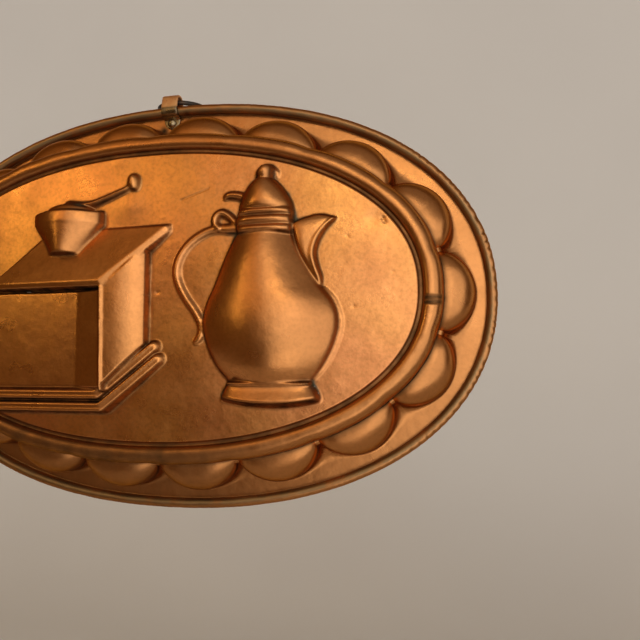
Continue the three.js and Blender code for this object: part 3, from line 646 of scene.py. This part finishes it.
def roll_rows(turns):
    """The rolled edge's rows, from the flat back round to its lip: offsets, heights and tints."""
    angles = 2 * np.pi * turns
    circle = np.stack([np.cos(angles), np.sin(angles)], axis=-1) * RIM_LENGTH / (2 * np.pi)
    nearness = np.exp(-((turns - CRINKLE_TURN) / CRINKLE_SPREAD) ** 2)
    strength = CRINKLE_LEAST + (1 - CRINKLE_LEAST) * nearness
    strength *= CRINKLE_MEAN + CRINKLE_SWING * waves(circle, **CRINKLE_SWING_WAVES)
    beat = RIM_LENGTH * turns / CRINKLE_PITCH + CRINKLE_DRIFT * waves(circle, **CRINKLE_DRIFT_WAVES)
    notch = (0.5 - 0.5 * np.cos(2 * np.pi * beat)) ** CRINKLE_SHARPNESS
    rows = []
    for degrees in np.linspace(ROLL_START_DEG, ROLL_END_DEG, ROLL_ROWS):
        angle = math.radians(degrees)
        crown = math.exp(-((degrees - CRINKLE_CREST_DEG) / CRINKLE_REACH_DEG) ** 2)
        crinkle = strength * notch * crown
        uneven = ROLL_UNEVENNESS * (1 + waves(circle + degrees * ROLL_WAVE_TWIST, **ROLL_WAVES))
        radius = ROLL_RADIUS - CRINKLE_DEPTH * crinkle - uneven * (degrees > ROLL_UNEVEN_FROM_DEG)
        offset = FLANGE_WIDTH + ROLL_RADIUS + radius * math.cos(angle)
        height = ROLL_RADIUS + radius * math.sin(angle)
        inner = CROWN_RIM_TINT + (1 - CROWN_RIM_TINT) * ramp(degrees, *INNER_SIDE_DEG)
        outer = BACK_RIM_TINT + (FRONT_RIM_TINT - BACK_RIM_TINT) * ramp(degrees, *OUTER_SIDE_DEG)
        # Painted shade towards the curl's tucked end, and a little darkening on its back
        grime_and_shade = CURL_SEAM_SHADE * ramp(degrees, *CURL_SEAM_SHADE_DEG) + ROLL_BACK_GRIME * outer
        # Painted shade in the crinkles' notches
        grime_and_shade = np.clip(grime_and_shade + CRINKLE_NOTCH_SHADE * crinkle, 0, 1)
        rows.append((offset, height, grime_and_shade, max(inner, outer)))
    # Painted shade under the lip
    rows += [(offset, height, LIP_SHADE, LIP_RIM_TINT) for offset, height in LIP_ROWS]
    return fill_rows(rows, turns)


def pressed_rows(side):
    """Rows from the flange in to the field's edge: offsets, heights and tints."""
    share_out = np.clip(np.abs(side) / LOBE_SHARE, 0, 1)
    fullness = (1 - share_out**2) ** LOBE_ROUNDNESS
    reach = CUSP_REACH + (LOBE_REACH - CUSP_REACH) * fullness
    crest = CUSP_CREST + (LOBE_CREST - CUSP_CREST) * (1 - share_out**4)
    fillet = LOBE_FILLET + (CUSP_FILLET - LOBE_FILLET) * (1 - fullness) ** CUSP_FILLET_POWER
    foot = SHEET + fillet
    rows = []

    for share in np.linspace(0, 1, FLANGE_ROWS, endpoint=False):
        offset = FLANGE_WIDTH + (reach + fillet - FLANGE_WIDTH) * share
        # Painted shade on the flange's first row, beside the curl
        rows.append((offset, SHEET, FLANGE_END_SHADE * (share == 0), 0))
    for angle in np.radians(np.linspace(90, 0, FOOT_ROWS, endpoint=False)):
        offset = reach + fillet * (1 - math.cos(angle))
        # Painted shade in the fillet at the lobe's foot
        grime_and_shade = LOBE_FOOT_SHADE * math.cos(angle) ** LOBE_FOOT_SHADE_POWER * fullness**2
        rows.append((offset, foot - fillet * math.sin(angle), grime_and_shade, 0))
    power = 2 / LOBE_POWER
    last = np.arccos((CREASE_FILLET / reach) ** (1 / power))
    for share in np.linspace(0, 1, LOBE_ROWS):
        height = foot + (crest - foot) * np.sin(last * share) ** power
        # Painted shade on the lobe's lower outer wall, and dirt at its top by the crease
        grime_and_shade = LOBE_WALL_SHADE * ramp(share, *LOBE_WALL_SHADE_SHARES)
        grime_and_shade += LOBE_TOP_GRIME * ramp(share, *LOBE_TOP_GRIME_SHARES)
        rows.append((reach * np.cos(last * share) ** power, height, grime_and_shade, 0))
    crease = foot + (crest - foot) * np.sin(last) ** power
    for angle in np.radians(CREASE_DEGREES):
        height = crease + CREASE_FILLET * (1 - math.cos(angle))
        rows.append((CREASE_FILLET * (1 - math.sin(angle)), height, CREASE_GRIME, 0))

    half = RIDGE_WIDTH / 2
    spring = crease + CREASE_FILLET
    power = 2 / RIDGE_POWER
    for angle in np.radians(np.linspace(0, 90, RIDGE_ROWS, endpoint=False)):
        height = spring + (RIDGE_HEIGHT - spring) * math.sin(angle) ** power
        # Painted shade at the ridge's outer foot
        grime_and_shade = RIDGE_FOOT_SHADE * ramp(angle, *RIDGE_FOOT_SHADE_ANGLES)
        rows.append((half * (math.cos(angle) ** power - 1), height, grime_and_shade, 0))
    # Painted shade down the ridge's inner side, deepest in the valley
    for angle in np.radians(np.linspace(0, 90, VALLEY_ROWS)):
        offset = -half - (VALLEY_OFFSET - half) * math.sin(angle) ** power
        height = VALLEY_HEIGHT + (RIDGE_HEIGHT - VALLEY_HEIGHT) * max(math.cos(angle), 0) ** power
        rows.append((offset, height, VALLEY_SHADE * ramp(angle, *VALLEY_SHADE_ANGLES), 0))
    # Painted shade fading as the valley climbs to the field
    for offset in np.linspace(0, RIDGE_WIDTH - VALLEY_OFFSET, VALLEY_EDGE_ROWS + 2)[1:-1]:
        climb = ramp(offset, *VALLEY_CLIMB)
        height = VALLEY_HEIGHT + (FIELD_HEIGHT - VALLEY_HEIGHT) * climb
        rows.append((-VALLEY_OFFSET - offset, height, VALLEY_SHADE * (1 - climb), 0))
    return fill_rows(rows, side)


LEAST_STEP = 1e-6


def set_behind(rows):
    """The same rows one sheet thickness behind, measured square to the section."""
    offsets = np.array([row[0] for row in rows])
    heights = np.array([row[1] for row in rows])
    along_s = np.gradient(offsets, axis=0)
    along_h = np.gradient(heights, axis=0)
    size = np.maximum(np.hypot(along_s, along_h), LEAST_STEP)
    back_s = offsets - SHEET * along_h / size
    back_h = np.maximum(heights + SHEET * along_s / size, 0)
    return [(s, h, *row[2:]) for s, h, row in zip(back_s, back_h, rows)]


# Two marks across the ridge on the right: z, sizes, and how far in from the crease they run
MARK_Z = (-3.4, -5.2)
MARK_WIDTH = 0.5
MARK_DEPTH = 0.6
MARK_STAIN = 0.8
MARK_START = (0.2, 2)
MARK_END = (8, 6.5)

# Dark spots below the hanger, and painted shade low on the left
HANGER_DARK_SPOTS = [(5.8, 82.2, 1.5), (-6.0, 77.0, 2.0)]
HANGER_SPOT_DARKNESS = 0.9
# Painted shade over the lower left of the border, strongest on the ridge
RIDGE_LOW_LEFT_SHADE = 0.65
OUTER_LOW_LEFT_SHADE = 0.35
LOW_LEFT_SHADE_X = (70, 0)
LOW_LEFT_SHADE_Z = (-25, -60)

# Waves in the lobes and ridge, with the heights and offsets at which they set in
BORDER_WAVE = 0.12
BORDER_WAVES = {"length": 16, "seed": 11}
BORDER_WAVE_HEIGHTS = (1.5, 8)
BORDER_WAVE_OUTSIDE = (14, 8)
BORDER_WAVE_INSIDE = (-9, -6)

# Waves in the field, and how brown its pictures are at which heights
FIELD_WAVE = 0.1
FIELD_WAVES = {"length": 30, "seed": 21}
FIELD_WAVE_INWARD = (0, 0.12)
PICTURE_TINT = 0.75
PICTURE_HEIGHTS = (0.6, 3.0)
BACK_LOBE_SPREAD = 1.05
# The first tint darkens the sheet, partly with dirt and partly with painted shade
TINTS = ("grime_and_shade", "rim", "residue", "lining", "border")


def weather_and_shade(px, pz, offset, height, grime_and_shade):
    """A border row's height, and its dirt and painted shade: marks, dark spots below the hanger, and
    painted shade low on the left.
    """
    on_ridge = ramp(-offset, *MARK_START) * ramp(-offset, *MARK_END) * (px > 0)
    for mark_z in MARK_Z:
        out = np.abs(pz - mark_z)
        height = height - MARK_DEPTH * on_ridge * np.exp(-((out / MARK_WIDTH) ** 2))
        grime_and_shade = np.maximum(grime_and_shade, on_ridge * np.exp(-((out / MARK_STAIN) ** 4)))
    # Dark spots on the rim and flange beside the strap
    for x, z, radius in HANGER_DARK_SPOTS:
        out = np.hypot(px - x, pz - z) / radius
        grime_and_shade = np.maximum(grime_and_shade, HANGER_SPOT_DARKNESS * np.exp(-(out**2)))
    # Painted shade towards the lower left
    low_left_shade = RIDGE_LOW_LEFT_SHADE + (OUTER_LOW_LEFT_SHADE - RIDGE_LOW_LEFT_SHADE) * ramp(offset, 0, 1)
    return height, np.maximum(grime_and_shade, low_left_shade * ramp(px, *LOW_LEFT_SHADE_X) * ramp(pz, *LOW_LEFT_SHADE_Z))


def border_rings(per_lobe, behind):
    """One face of the border, as rings from the rim to the field: (points, tints) for each."""
    turns, side = column_turns(per_lobe)
    x, z, nx, nz = crease_point(angles_at(turns))
    if behind:
        rows = set_behind(pressed_rows(np.clip(side * BACK_LOBE_SPREAD, -1, 1)))[1::2]
    else:
        rows = roll_rows(turns) + pressed_rows(side)
    rings = []
    for offset, height, grime_and_shade, rim in rows:
        px, pz = x + offset * nx, z + offset * nz
        loose = ramp(height, *BORDER_WAVE_HEIGHTS)
        loose = loose * ramp(offset, *BORDER_WAVE_OUTSIDE) * ramp(offset, *BORDER_WAVE_INSIDE)
        height = height + BORDER_WAVE * loose * waves(np.stack([px, pz], axis=-1), **BORDER_WAVES)
        if not behind:
            height, grime_and_shade = weather_and_shade(px, pz, offset, height, grime_and_shade)
        rings.append((place(px, height, pz), (grime_and_shade, rim, 0, behind, 1)))
    return rings


def field_rings(per_lobe, count, heights, dirt_and_shade, behind):
    """One face of the field, as rings from its edge to the middle: (points, tints) for each."""
    x, z, nx, nz = crease_point(angles_at(column_turns(per_lobe)[0]))
    edge_x, edge_z = x - RIDGE_WIDTH * nx, z - RIDGE_WIDTH * nz
    residue = residue_map(dirt_and_shade)
    rings = []
    for scale in np.linspace(1, 0, count, endpoint=False):
        thinned = 2 ** sum(scale <= limit for limit in THINNED_AT)
        px, pz = edge_x[::thinned] * scale, edge_z[::thinned] * scale
        raised = sample(heights, px, pz)
        wave = ramp(1 - scale, *FIELD_WAVE_INWARD) * waves(np.stack([px, pz], axis=-1), **FIELD_WAVES)
        # Dirt and painted shade from the field's map
        grime_and_shade = sample(dirt_and_shade, px, pz)
        brown = PICTURE_TINT * ramp(raised, *PICTURE_HEIGHTS)
        tints = (grime_and_shade, 0, sample(residue, px, pz), behind, brown)
        rings.append((place(px, FIELD_HEIGHT + raised + FIELD_WAVE * wave, pz), tints))
    return rings


def join_rings(outer, inner, forward):
    """Faces between two rings of vertex numbers, the inner one with as many or a whole part as many."""
    factor = len(outer) // len(inner)
    faces = []
    for i in range(len(inner)):
        j = (i + 1) % len(inner)
        face = [outer[(i * factor + k) % len(outer)] for k in range(factor + 1)] + [inner[j], inner[i]]
        faces.append(face[::-1] if forward else face)
    return faces


def copper_sheet():
    heights = picture_map()
    dirt_and_shade = dirt_and_shade_map(heights)
    points, faces, tints = [], [], []
    start = 0
    rim = None
    for forward, columns, count, face_heights in (
        (True, FRONT_COLUMNS, FRONT_FIELD_RINGS, heights),
        (False, BACK_COLUMNS, BACK_FIELD_RINGS, behind_map(heights)),
    ):
        rings = border_rings(columns, not forward)
        rings += field_rings(columns, count, face_heights, dirt_and_shade, not forward)
        before = rim
        for places, tint in rings:
            numbers = range(start, start + len(places))
            start += len(places)
            points.append(places)
            tints.append(np.stack(np.broadcast_arrays(*tint, places[:, 0])[:-1], axis=-1))
            if before is None:
                rim = numbers
            else:
                faces += join_rings(before, numbers, forward)
            before = numbers
        points.append(points[-1].mean(axis=0, keepdims=True))
        tints.append(tints[-1].mean(axis=0, keepdims=True))
        for i in range(len(before)):
            face = [before[i], before[(i + 1) % len(before)], start]
            faces.append(face[::-1] if forward else face)
        start += 1
    piece = make_object("copper_sheet", np.vstack(points), faces)
    tints = np.vstack(tints)
    for column, name in enumerate(TINTS):
        layer = piece.data.attributes.new(name, "FLOAT", "POINT")
        layer.data.foreach_set("value", tints[:, column].astype(np.float32))
    return piece


# Hanger: strap, rivet and ring

BEAD_Z = CREASE_HALF_WIDTH + FLANGE_WIDTH + ROLL_RADIUS
STRAP_X = -1.8
STRAP_HALF_WIDTH = 3.74
STRAP_HALF_THICKNESS = 0.4
STRAP_HUG = 2.7
STRAP_WAVE = 0.07
STRAP_WAVES = {"length": 5, "seed": 31}
STRAP_CORNER_STEPS = 7
STRAP_FLAT_STEPS = 5
LEAF_LENGTH = 5.4
LEAF_TIP_LIFT = 0.35
LEAF_TIP_DEG = (6, 84)
LEAF_TIP_STEPS = 12
LEAF_STRAIGHT_ABOVE = 0.2
LEAF_TURNS_OUT = 0.5
LEAF_TURNS_BELOW = 0.15
EYE_HEIGHT = 1.2
EYE_ABOVE_BEAD = 4.6
EYE_RADIUS = 2.6
RIVET_BELOW_BEAD = 4.9
RIVET_PROFILE = [
    (0, 2.66), (0.5, 2.62), (1.0, 2.5), (1.4, 2.3), (1.75, 2.0), (1.98, 1.7), (2.05, 1.42), (1.2, 1.4),
    (1.2, -0.8), (1.78, -0.82), (1.6, -1.2), (1.2, -1.5), (0.6, -1.65), (0, -1.7),
]
RIVET_SIDES = 32
RIVET_SEATING = 0.05
RIVET_DENT = 0.12
RIVET_DENTED_ABOVE = 1.5
RIVET_WAVES = {"length": 1.7, "seed": 41}
RING_RADIUS = 10.8
RING_WIRE_RADIUS = 0.97
RING_LIFT_DEG = 10
RING_STEPS = 112
RING_SIDES = 20


def skin(name, rings, forward, closed=False, capped=False):
    """An object whose surface runs through equal rings of points."""
    count = len(rings[0])
    numbers = [range(k * count, (k + 1) * count) for k in range(len(rings))]
    following = numbers[1:] + numbers[:1] if closed else numbers[1:]
    faces = []
    for before, after in zip(numbers, following):
        faces += join_rings(before, after, forward)
    if capped:
        faces += [list(numbers[0]), list(numbers[-1])[::-1]]
    return make_object(name, np.vstack(rings), faces)


def arc(height, z, radius, start, end, steps):
    """Points (height, z) on an arc. 0 degrees is behind and 90 is up."""
    turn = np.radians(np.linspace(start, end, steps))
    return list(zip(height - radius * np.cos(turn), z + radius * np.sin(turn)))


def strap_line():
    """The strap's middle line as (height, z, half width), from its front leaf over to its rear one."""
    half = STRAP_HALF_WIDTH
    leaf_middle_z = BEAD_Z - ROLL_RADIUS - LEAF_LENGTH + half
    eye_z = BEAD_Z + EYE_ABOVE_BEAD
    tip = np.radians(np.linspace(*LEAF_TIP_DEG, LEAF_TIP_STEPS))
    tip_z = leaf_middle_z - half * np.cos(tip)
    tip_width = half * np.sin(tip)
    lift = LEAF_TIP_LIFT * (1 - np.sin(tip)) ** 2
    front_height = SHEET + STRAP_HALF_THICKNESS
    over = [
        (front_height, leaf_middle_z + LEAF_STRAIGHT_ABOVE),
        (front_height + LEAF_TURNS_OUT, BEAD_Z - STRAP_HUG - LEAF_TURNS_BELOW),
    ]
    over += arc(ROLL_RADIUS, BEAD_Z, STRAP_HUG, start=255, end=172, steps=9)
    over += arc(EYE_HEIGHT, eye_z, EYE_RADIUS, start=166, end=-6, steps=28)
    over += arc(ROLL_RADIUS, BEAD_Z, STRAP_HUG, start=-7, end=-22, steps=3)
    over += [(-STRAP_HALF_THICKNESS, BEAD_Z - STRAP_HUG)]
    line = [(front_height + up, z, width) for up, z, width in zip(lift, tip_z, tip_width)]
    line += [(height, z, half) for height, z in over]
    line += [(-STRAP_HALF_THICKNESS, z, width) for z, width in zip(tip_z[::-1], tip_width[::-1])]
    return np.array(line)


def strap_ribbon():
    line = strap_line()
    ahead = np.gradient(line[:, :2], axis=0)
    ahead /= np.linalg.norm(ahead, axis=1, keepdims=True)
    corner = np.radians(np.linspace(-90, 90, STRAP_CORNER_STEPS))
    thick = STRAP_HALF_THICKNESS
    rings = []
    for (height, z, half), (along_h, along_z) in zip(line, ahead):
        flat = np.linspace(-1, 1, STRAP_FLAT_STEPS + 2)[1:-1] * (half - thick)
        across = np.concatenate([half - thick + thick * np.cos(corner), flat[::-1]])
        across = np.concatenate([across, -across])
        out = np.concatenate([thick * np.sin(corner), np.full(len(flat), thick)])
        out = np.concatenate([out, -out])
        middles = np.stack(np.broadcast_arrays(across, height, z), axis=-1)
        out += STRAP_WAVE * waves(middles, **STRAP_WAVES)
        rings.append(place(STRAP_X + across, height + out * along_z, z - out * along_h))
    return skin("strap_ribbon", rings, forward=False, capped=True)


def rivet_heads():
    turn = 2 * np.pi * np.arange(RIVET_SIDES) / RIVET_SIDES
    rings = []
    for radius, height in RIVET_PROFILE:
        x, z = radius * np.cos(turn), radius * np.sin(turn)
        dent = RIVET_DENT * (height > RIVET_DENTED_ABOVE)
        dented = height - RIVET_SEATING + dent * waves(np.stack([x, z], axis=-1), **RIVET_WAVES)
        rings.append(place(STRAP_X + x, dented, BEAD_Z - RIVET_BELOW_BEAD + z))
    return skin("rivet_heads", rings, forward=True)


def ring_wire():
    lift = math.radians(RING_LIFT_DEG)
    tube = 2 * np.pi * np.arange(RING_SIDES) / RING_SIDES
    rings = []
    for turn in 2 * np.pi * np.arange(RING_STEPS) / RING_STEPS:
        out = RING_RADIUS + RING_WIRE_RADIUS * np.cos(tube)
        behind = RING_RADIUS - out * math.cos(turn)
        up = RING_WIRE_RADIUS * np.sin(tube)
        height = EYE_HEIGHT - behind * math.cos(lift) + up * math.sin(lift)
        z = BEAD_Z + EYE_ABOVE_BEAD + behind * math.sin(lift) + up * math.cos(lift)
        rings.append(place(STRAP_X + out * math.sin(turn), height, z))
    return skin("ring_wire", rings, forward=True, closed=True)


# Finishes

MIX_COLOUR_SOCKETS = (6, 7)
MIX_COLOUR_RESULT = 2


class Nodes:
    """A short way to add nodes to a tree."""

    def __init__(self, tree):
        self.tree = tree

    def node(self, kind, inputs=(), **settings):
        made = self.tree.nodes.new("ShaderNode" + kind)
        for key, value in settings.items():
            setattr(made, key, value)
        for key, value in dict(inputs).items():
            if isinstance(value, bpy.types.NodeSocket):
                self.tree.links.new(value, made.inputs[key])
            else:
                made.inputs[key].default_value = value
        return made

    def step(self, value, low, high, least=0.0):
        """A smooth rise of a number from least at low to 1 at high."""
        inputs = {"Value": value, "From Min": low, "From Max": high, "To Min": least}
        return self.node("MapRange", inputs, interpolation_type="SMOOTHSTEP").outputs["Result"]

    def math(self, operation, a, b):
        return self.node("Math", {0: a, 1: b}, operation=operation, use_clamp=True).outputs[0]

    def mix(self, share, a, b):
        """Colour a where share is 0 and b where it is 1."""
        inputs = {0: share}
        for socket, colour in zip(MIX_COLOUR_SOCKETS, (a, b)):
            inputs[socket] = (*colour, 1.0) if isinstance(colour, tuple) else colour
        return self.node("Mix", inputs, data_type="RGBA").outputs[MIX_COLOUR_RESULT]

    def blend(self, share, a, b):
        """Number a where share is 0 and b where it is 1."""
        return self.node("Mix", {0: share, 2: a, 3: b}, data_type="FLOAT").outputs[0]


class Finish(Nodes):
    """A Principled material."""

    def __init__(self, name, **constants):
        self.material = bpy.data.materials.new(name)
        self.material.use_nodes = True
        super().__init__(self.material.node_tree)
        self.shader = self.tree.nodes["Principled BSDF"]
        for socket, value in constants.items():
            self.shader.inputs[socket.replace("_", " ")].default_value = value
        self.where = self.node("TexCoord").outputs["Object"]

    def noise(self, size, low=0.0, high=1.0, detail=3, near=0.35, far=0.65):
        """Cloudy pattern with swells of the given size in metres, spread from low to high."""
        cloud = self.node("TexNoise", {"Vector": self.where, "Scale": 1 / size, "Detail": detail})
        ends = {"From Min": near, "From Max": far, "To Min": low, "To Max": high}
        return self.node("MapRange", {"Value": cloud.outputs["Fac"], **ends}).outputs["Result"]

    def tint(self, name):
        return self.node("Attribute", attribute_name=name).outputs["Fac"]

    def set(self, socket, value):
        self.tree.links.new(value, self.shader.inputs[socket])

    def bump(self, *layers):
        """Layers of (height, depth in metres)."""
        normal = None
        for height, depth in layers:
            inputs = {"Height": height, "Distance": depth}
            if normal is not None:
                inputs["Normal"] = normal
            normal = self.node("Bump", inputs).outputs["Normal"]
        self.set("Normal", normal)


GOLDEN_COPPER = (0.92, 0.42, 0.12)
ROSY_COPPER = (0.88, 0.35, 0.135)
BROWN_COPPER = (0.50, 0.21, 0.07)
BORDER_COPPER = (0.64, 0.27, 0.088)
# Dark brown for dirt and for painted shade
DARK_GRIME_AND_SHADE = (0.055, 0.033, 0.017)
VERDIGRIS = (0.115, 0.115, 0.078)
OLIVE_RIM = (0.36, 0.24, 0.12)
DULL_TIN = (0.40, 0.37, 0.33)
GRAZING_TINT = (0.70, 0.45, 0.30, 1.0)
GRIME_AND_SHADE_DULLNESS = 0.7
RIM_DULLNESS = 0.45
DULL_ROUGHNESS = 0.7
GRAIN_DEPTH = 0.000022
HAMMERED_DEPTH = 0.00012


def copper_finish():
    finish = Finish("worn_copper", Metallic=1.0, Specular_Tint=GRAZING_TINT)
    rosy = finish.noise(size=0.04, detail=1, near=0.3, far=0.7)
    field = finish.mix(rosy, GOLDEN_COPPER, ROSY_COPPER)
    base = finish.mix(finish.tint("border"), field, BORDER_COPPER)
    brown = finish.noise(size=0.012, high=0.28, detail=2, near=0.25, far=0.75)
    base = finish.mix(brown, base, BROWN_COPPER)
    speckle = finish.noise(size=0.0014, high=0.5, near=0.42, far=0.75)
    base = finish.mix(speckle, base, BROWN_COPPER)
    worn = finish.noise(size=0.007, low=0.45, near=0.3, far=0.5)
    base = finish.mix(finish.math("MULTIPLY", finish.tint("rim"), worn), base, OLIVE_RIM)
    # The dark brown layer: dirt and painted shade in the field's hollows, painted shade on steep walls,
    # under the curl, on the lobes, ridge and valley and low on the left, and dirt in the crease and marks
    patchy = finish.noise(size=0.006, low=0.75, high=1.15, detail=4)
    grime_and_shade = finish.math("MULTIPLY", finish.tint("grime_and_shade"), patchy)
    base = finish.mix(grime_and_shade, base, DARK_GRIME_AND_SHADE)
    crumbly = finish.noise(size=0.0025, low=0.3, high=1.3, detail=4)
    residue = finish.math("MULTIPLY", finish.tint("residue"), crumbly)
    base = finish.mix(residue, base, VERDIGRIS)
    base = finish.mix(finish.tint("lining"), base, DULL_TIN)
    finish.set("Base Color", base)
    polish = finish.noise(size=0.012, low=0.24, high=0.36, detail=2, near=0.2, far=0.8)
    dulled = finish.math("MAXIMUM", finish.math("MULTIPLY", grime_and_shade, GRIME_AND_SHADE_DULLNESS), residue)
    dull_rim = finish.math("MULTIPLY", finish.tint("rim"), RIM_DULLNESS)
    dulled = finish.math("MAXIMUM", dull_rim, dulled)
    finish.set("Roughness", finish.blend(dulled, polish, DULL_ROUGHNESS))
    grain = finish.noise(size=0.0009, near=0.2, far=0.8)
    hammered = finish.noise(size=0.005, detail=1, near=0.0, far=1.0)
    finish.bump((grain, GRAIN_DEPTH), (hammered, HAMMERED_DEPTH))
    return finish.material


DARK_IRON = (0.075, 0.066, 0.058)
RUSTY_IRON = (0.11, 0.06, 0.032)
IRON_GRAIN_DEPTH = 0.00005


def iron_finish():
    finish = Finish("dark_iron_wire", Metallic=0.9)
    rust = finish.noise(size=0.003, detail=5, near=0.45, far=0.7)
    finish.set("Base Color", finish.mix(rust, DARK_IRON, RUSTY_IRON))
    finish.set("Roughness", finish.noise(size=0.002, low=0.38, high=0.62, detail=4))
    finish.bump((finish.noise(size=0.0007, detail=4, near=0.2, far=0.8), IRON_GRAIN_DEPTH))
    return finish.material


# The strap is rubbed bright above LOOP_LOW_Z and dark below LEAF_TOP_Z
LEAF_TOP_Z = -0.0042
LOOP_LOW_Z = -0.0030
BRIGHT_LOOP = (0.95, 0.56, 0.27)
RUBBED_LOOP = (0.86, 0.42, 0.17)
PALE_LEAF = (0.36, 0.28, 0.17)
DARK_LEAF = (0.20, 0.14, 0.08)
BRASS_SPOTS = (0.08, 0.05, 0.03)
LOOP_ROUGHNESS = 0.5
BRASS_GRAIN_DEPTH = 0.00004


def brass_finish():
    finish = Finish("dull_brass", Metallic=1.0)
    worn = finish.noise(size=0.004, detail=4)
    loop = finish.mix(worn, BRIGHT_LOOP, RUBBED_LOOP)
    leaf = finish.mix(worn, PALE_LEAF, DARK_LEAF)
    height = finish.node("SeparateXYZ", {"Vector": finish.where}).outputs["Z"]
    on_loop = finish.step(height, LEAF_TOP_Z, LOOP_LOW_Z)
    spots = finish.noise(size=0.0012, high=0.6, detail=4, near=0.62, far=0.8)
    finish.set("Base Color", finish.mix(spots, finish.mix(on_loop, leaf, loop), BRASS_SPOTS))
    polish = finish.noise(size=0.0025, low=0.24, high=0.42, detail=4)
    finish.set("Roughness", finish.blend(on_loop, polish, LOOP_ROUGHNESS))
    finish.bump((finish.noise(size=0.0008, detail=4, near=0.2, far=0.8), BRASS_GRAIN_DEPTH))
    return finish.material


PAPER = (0.88, 0.87, 0.85)
PAPER_SHADE = 0.96
PAPER_ROUGHNESS = 0.85


def paper_finish():
    finish = Finish("plain_paper", Roughness=PAPER_ROUGHNESS)
    shade = tuple(channel * PAPER_SHADE for channel in PAPER)
    finish.set("Base Color", finish.mix(finish.noise(size=0.4), PAPER, shade))
    return finish.material


# Stage, light and camera

BACKDROP_Y = 0.55
FLOOR_Z = -0.45
SWEEP_RADIUS = 0.2
SWEEP_STEPS = 17
FLOOR_HALF_WIDTH = 0.8
WALL_HALF_WIDTH = 2.5
STAGE_FRONT_Y = -0.35
STAGE_TOP_Z = 1.6


def backdrop():
    profile = [(STAGE_FRONT_Y, FLOOR_Z)]
    for angle in np.linspace(0, np.pi / 2, SWEEP_STEPS):
        y = BACKDROP_Y - SWEEP_RADIUS + SWEEP_RADIUS * math.sin(angle)
        z = FLOOR_Z + SWEEP_RADIUS - SWEEP_RADIUS * math.cos(angle)
        profile.append((y, z))
    profile.append((BACKDROP_Y, STAGE_TOP_Z))
    points = []
    for y, z in profile:
        half = np.interp(y, (STAGE_FRONT_Y, BACKDROP_Y), (FLOOR_HALF_WIDTH, WALL_HALF_WIDTH))
        points += [(-half, y, z), (half, y, z)]
    faces = [(2 * i, 2 * i + 1, 2 * i + 3, 2 * i + 2) for i in range(len(profile) - 1)]
    sweep = make_object("backdrop", points, faces)
    sweep.data.materials.append(paper_finish())


# Directions along which the glow fades: (direction, where it is dark, where it is bright, least)
GLOW_EDGES = [
    ((1.3, 0, 1), -0.52, -0.09, 0.0), ((1, 0, 0), -0.80, -0.35, 0.0), ((1, 0, 0), 0.99, 0.84, 0.0),
    ((0.25, 0, 1), 0.68, 0.44, 0.15), ((0, 0, 1), -0.85, -0.5, 0.0), ((0, 1, 0), -0.05, -0.3, 0.0),
]
GLOW_DIM = (0.10, 0.05, 0.014)
GLOW_LEFT = (0.68, 0.42, 0.17)
GLOW_RIGHT = (1.12, 1.07, 1.02)
GLOW_TURN = (-0.40, -0.02)


def studio_world():
    """Dim and warm all round but for a broad soft glow in front, a little to the right."""
    world = bpy.data.worlds.new("studio")
    bpy.context.scene.world = world
    world.use_nodes = True
    nodes = Nodes(world.node_tree)
    towards = nodes.node("TexCoord").outputs["Generated"]

    def share(direction, dark, bright, least=0.0):
        along = nodes.node("VectorMath", {0: towards, 1: direction}, operation="DOT_PRODUCT")
        return nodes.step(along.outputs["Value"], dark, bright, least)

    glow = 1.0
    for edge in GLOW_EDGES:
        glow = nodes.math("MULTIPLY", glow, share(*edge))
    bright = nodes.mix(share((1, 0, 0), *GLOW_TURN), GLOW_LEFT, GLOW_RIGHT)
    colour = nodes.mix(glow, GLOW_DIM, bright)
    nodes.tree.links.new(colour, nodes.tree.nodes["Background"].inputs["Color"])


# Lamps: direction from the mould, width, height, watts and colour
LAMP_DISTANCE = 1.0
LAMPS = {
    "key_light": ((0.3, -0.9, 0.12), 0.4, 0.3, 0.3, (1, 0.95, 0.88)),
    "low_fill": ((0.14, -0.8, -0.54), 0.5, 0.4, 0.5, (1, 0.95, 0.88)),
    "left_patch": ((-0.54, -0.77, 0.34), 0.3, 0.16, 0.2, (1, 0.66, 0.3)),
    "left_streak": ((-0.68, -0.69, 0.25), 0.07, 0.34, 0.26, (1, 0.78, 0.3)),
    "right_streak": ((0.10, -0.9, 0.40), 0.3, 0.07, 0.24, (1, 0.8, 0.35)),
}


def soft_box(name, direction, width, height, watts, colour):
    data = bpy.data.lights.new(name, "AREA")
    data.shape = "RECTANGLE"
    data.size = width
    data.size_y = height
    data.energy = watts
    data.color = colour
    lamp = add_object(name, data)
    aim = Vector(OVAL_CENTRE)
    lamp.location = aim + Vector(direction).normalized() * LAMP_DISTANCE
    lamp.rotation_euler = (lamp.location - aim).to_track_quat("Z", "Y").to_euler()
    lamp.visible_camera = False


def camera():
    data = bpy.data.cameras.new("camera")
    data.lens = CAMERA_LENS
    data.sensor_width = SENSOR_WIDTH
    data.clip_start = CAMERA_NEAR
    bpy.context.scene.camera = add_object("camera", data)
    seat = Matrix.Translation(Vector(OVAL_CENTRE) + Vector(CAMERA_FROM_OVAL) * MM)
    for degrees, axis in CAMERA_TURNS:
        seat = seat @ Matrix.Rotation(math.radians(degrees), 4, axis)
    bpy.context.scene.camera.matrix_world = seat


camera()
backdrop()
studio_world()
for name, settings in LAMPS.items():
    soft_box(name, *settings)

copper = copper_finish()
iron = iron_finish()
brass = brass_finish()
for piece, body, node, slot, material in (
    (copper_sheet(), "mould", "mould_shell", "copper", copper),
    (strap_ribbon(), "mould", "hanger_strap", "brass", brass),
    (rivet_heads(), "mould", "hanger_rivet", "brass", brass),
    (ring_wire(), "ring", "hanging_ring", "iron", iron),
):
    piece.data.materials.append(material)
    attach(piece, body)
    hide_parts(node)
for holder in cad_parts["rim_wire"].material_slots:
    holder.material = iron

bpy.context.scene.view_settings.view_transform = "Standard"
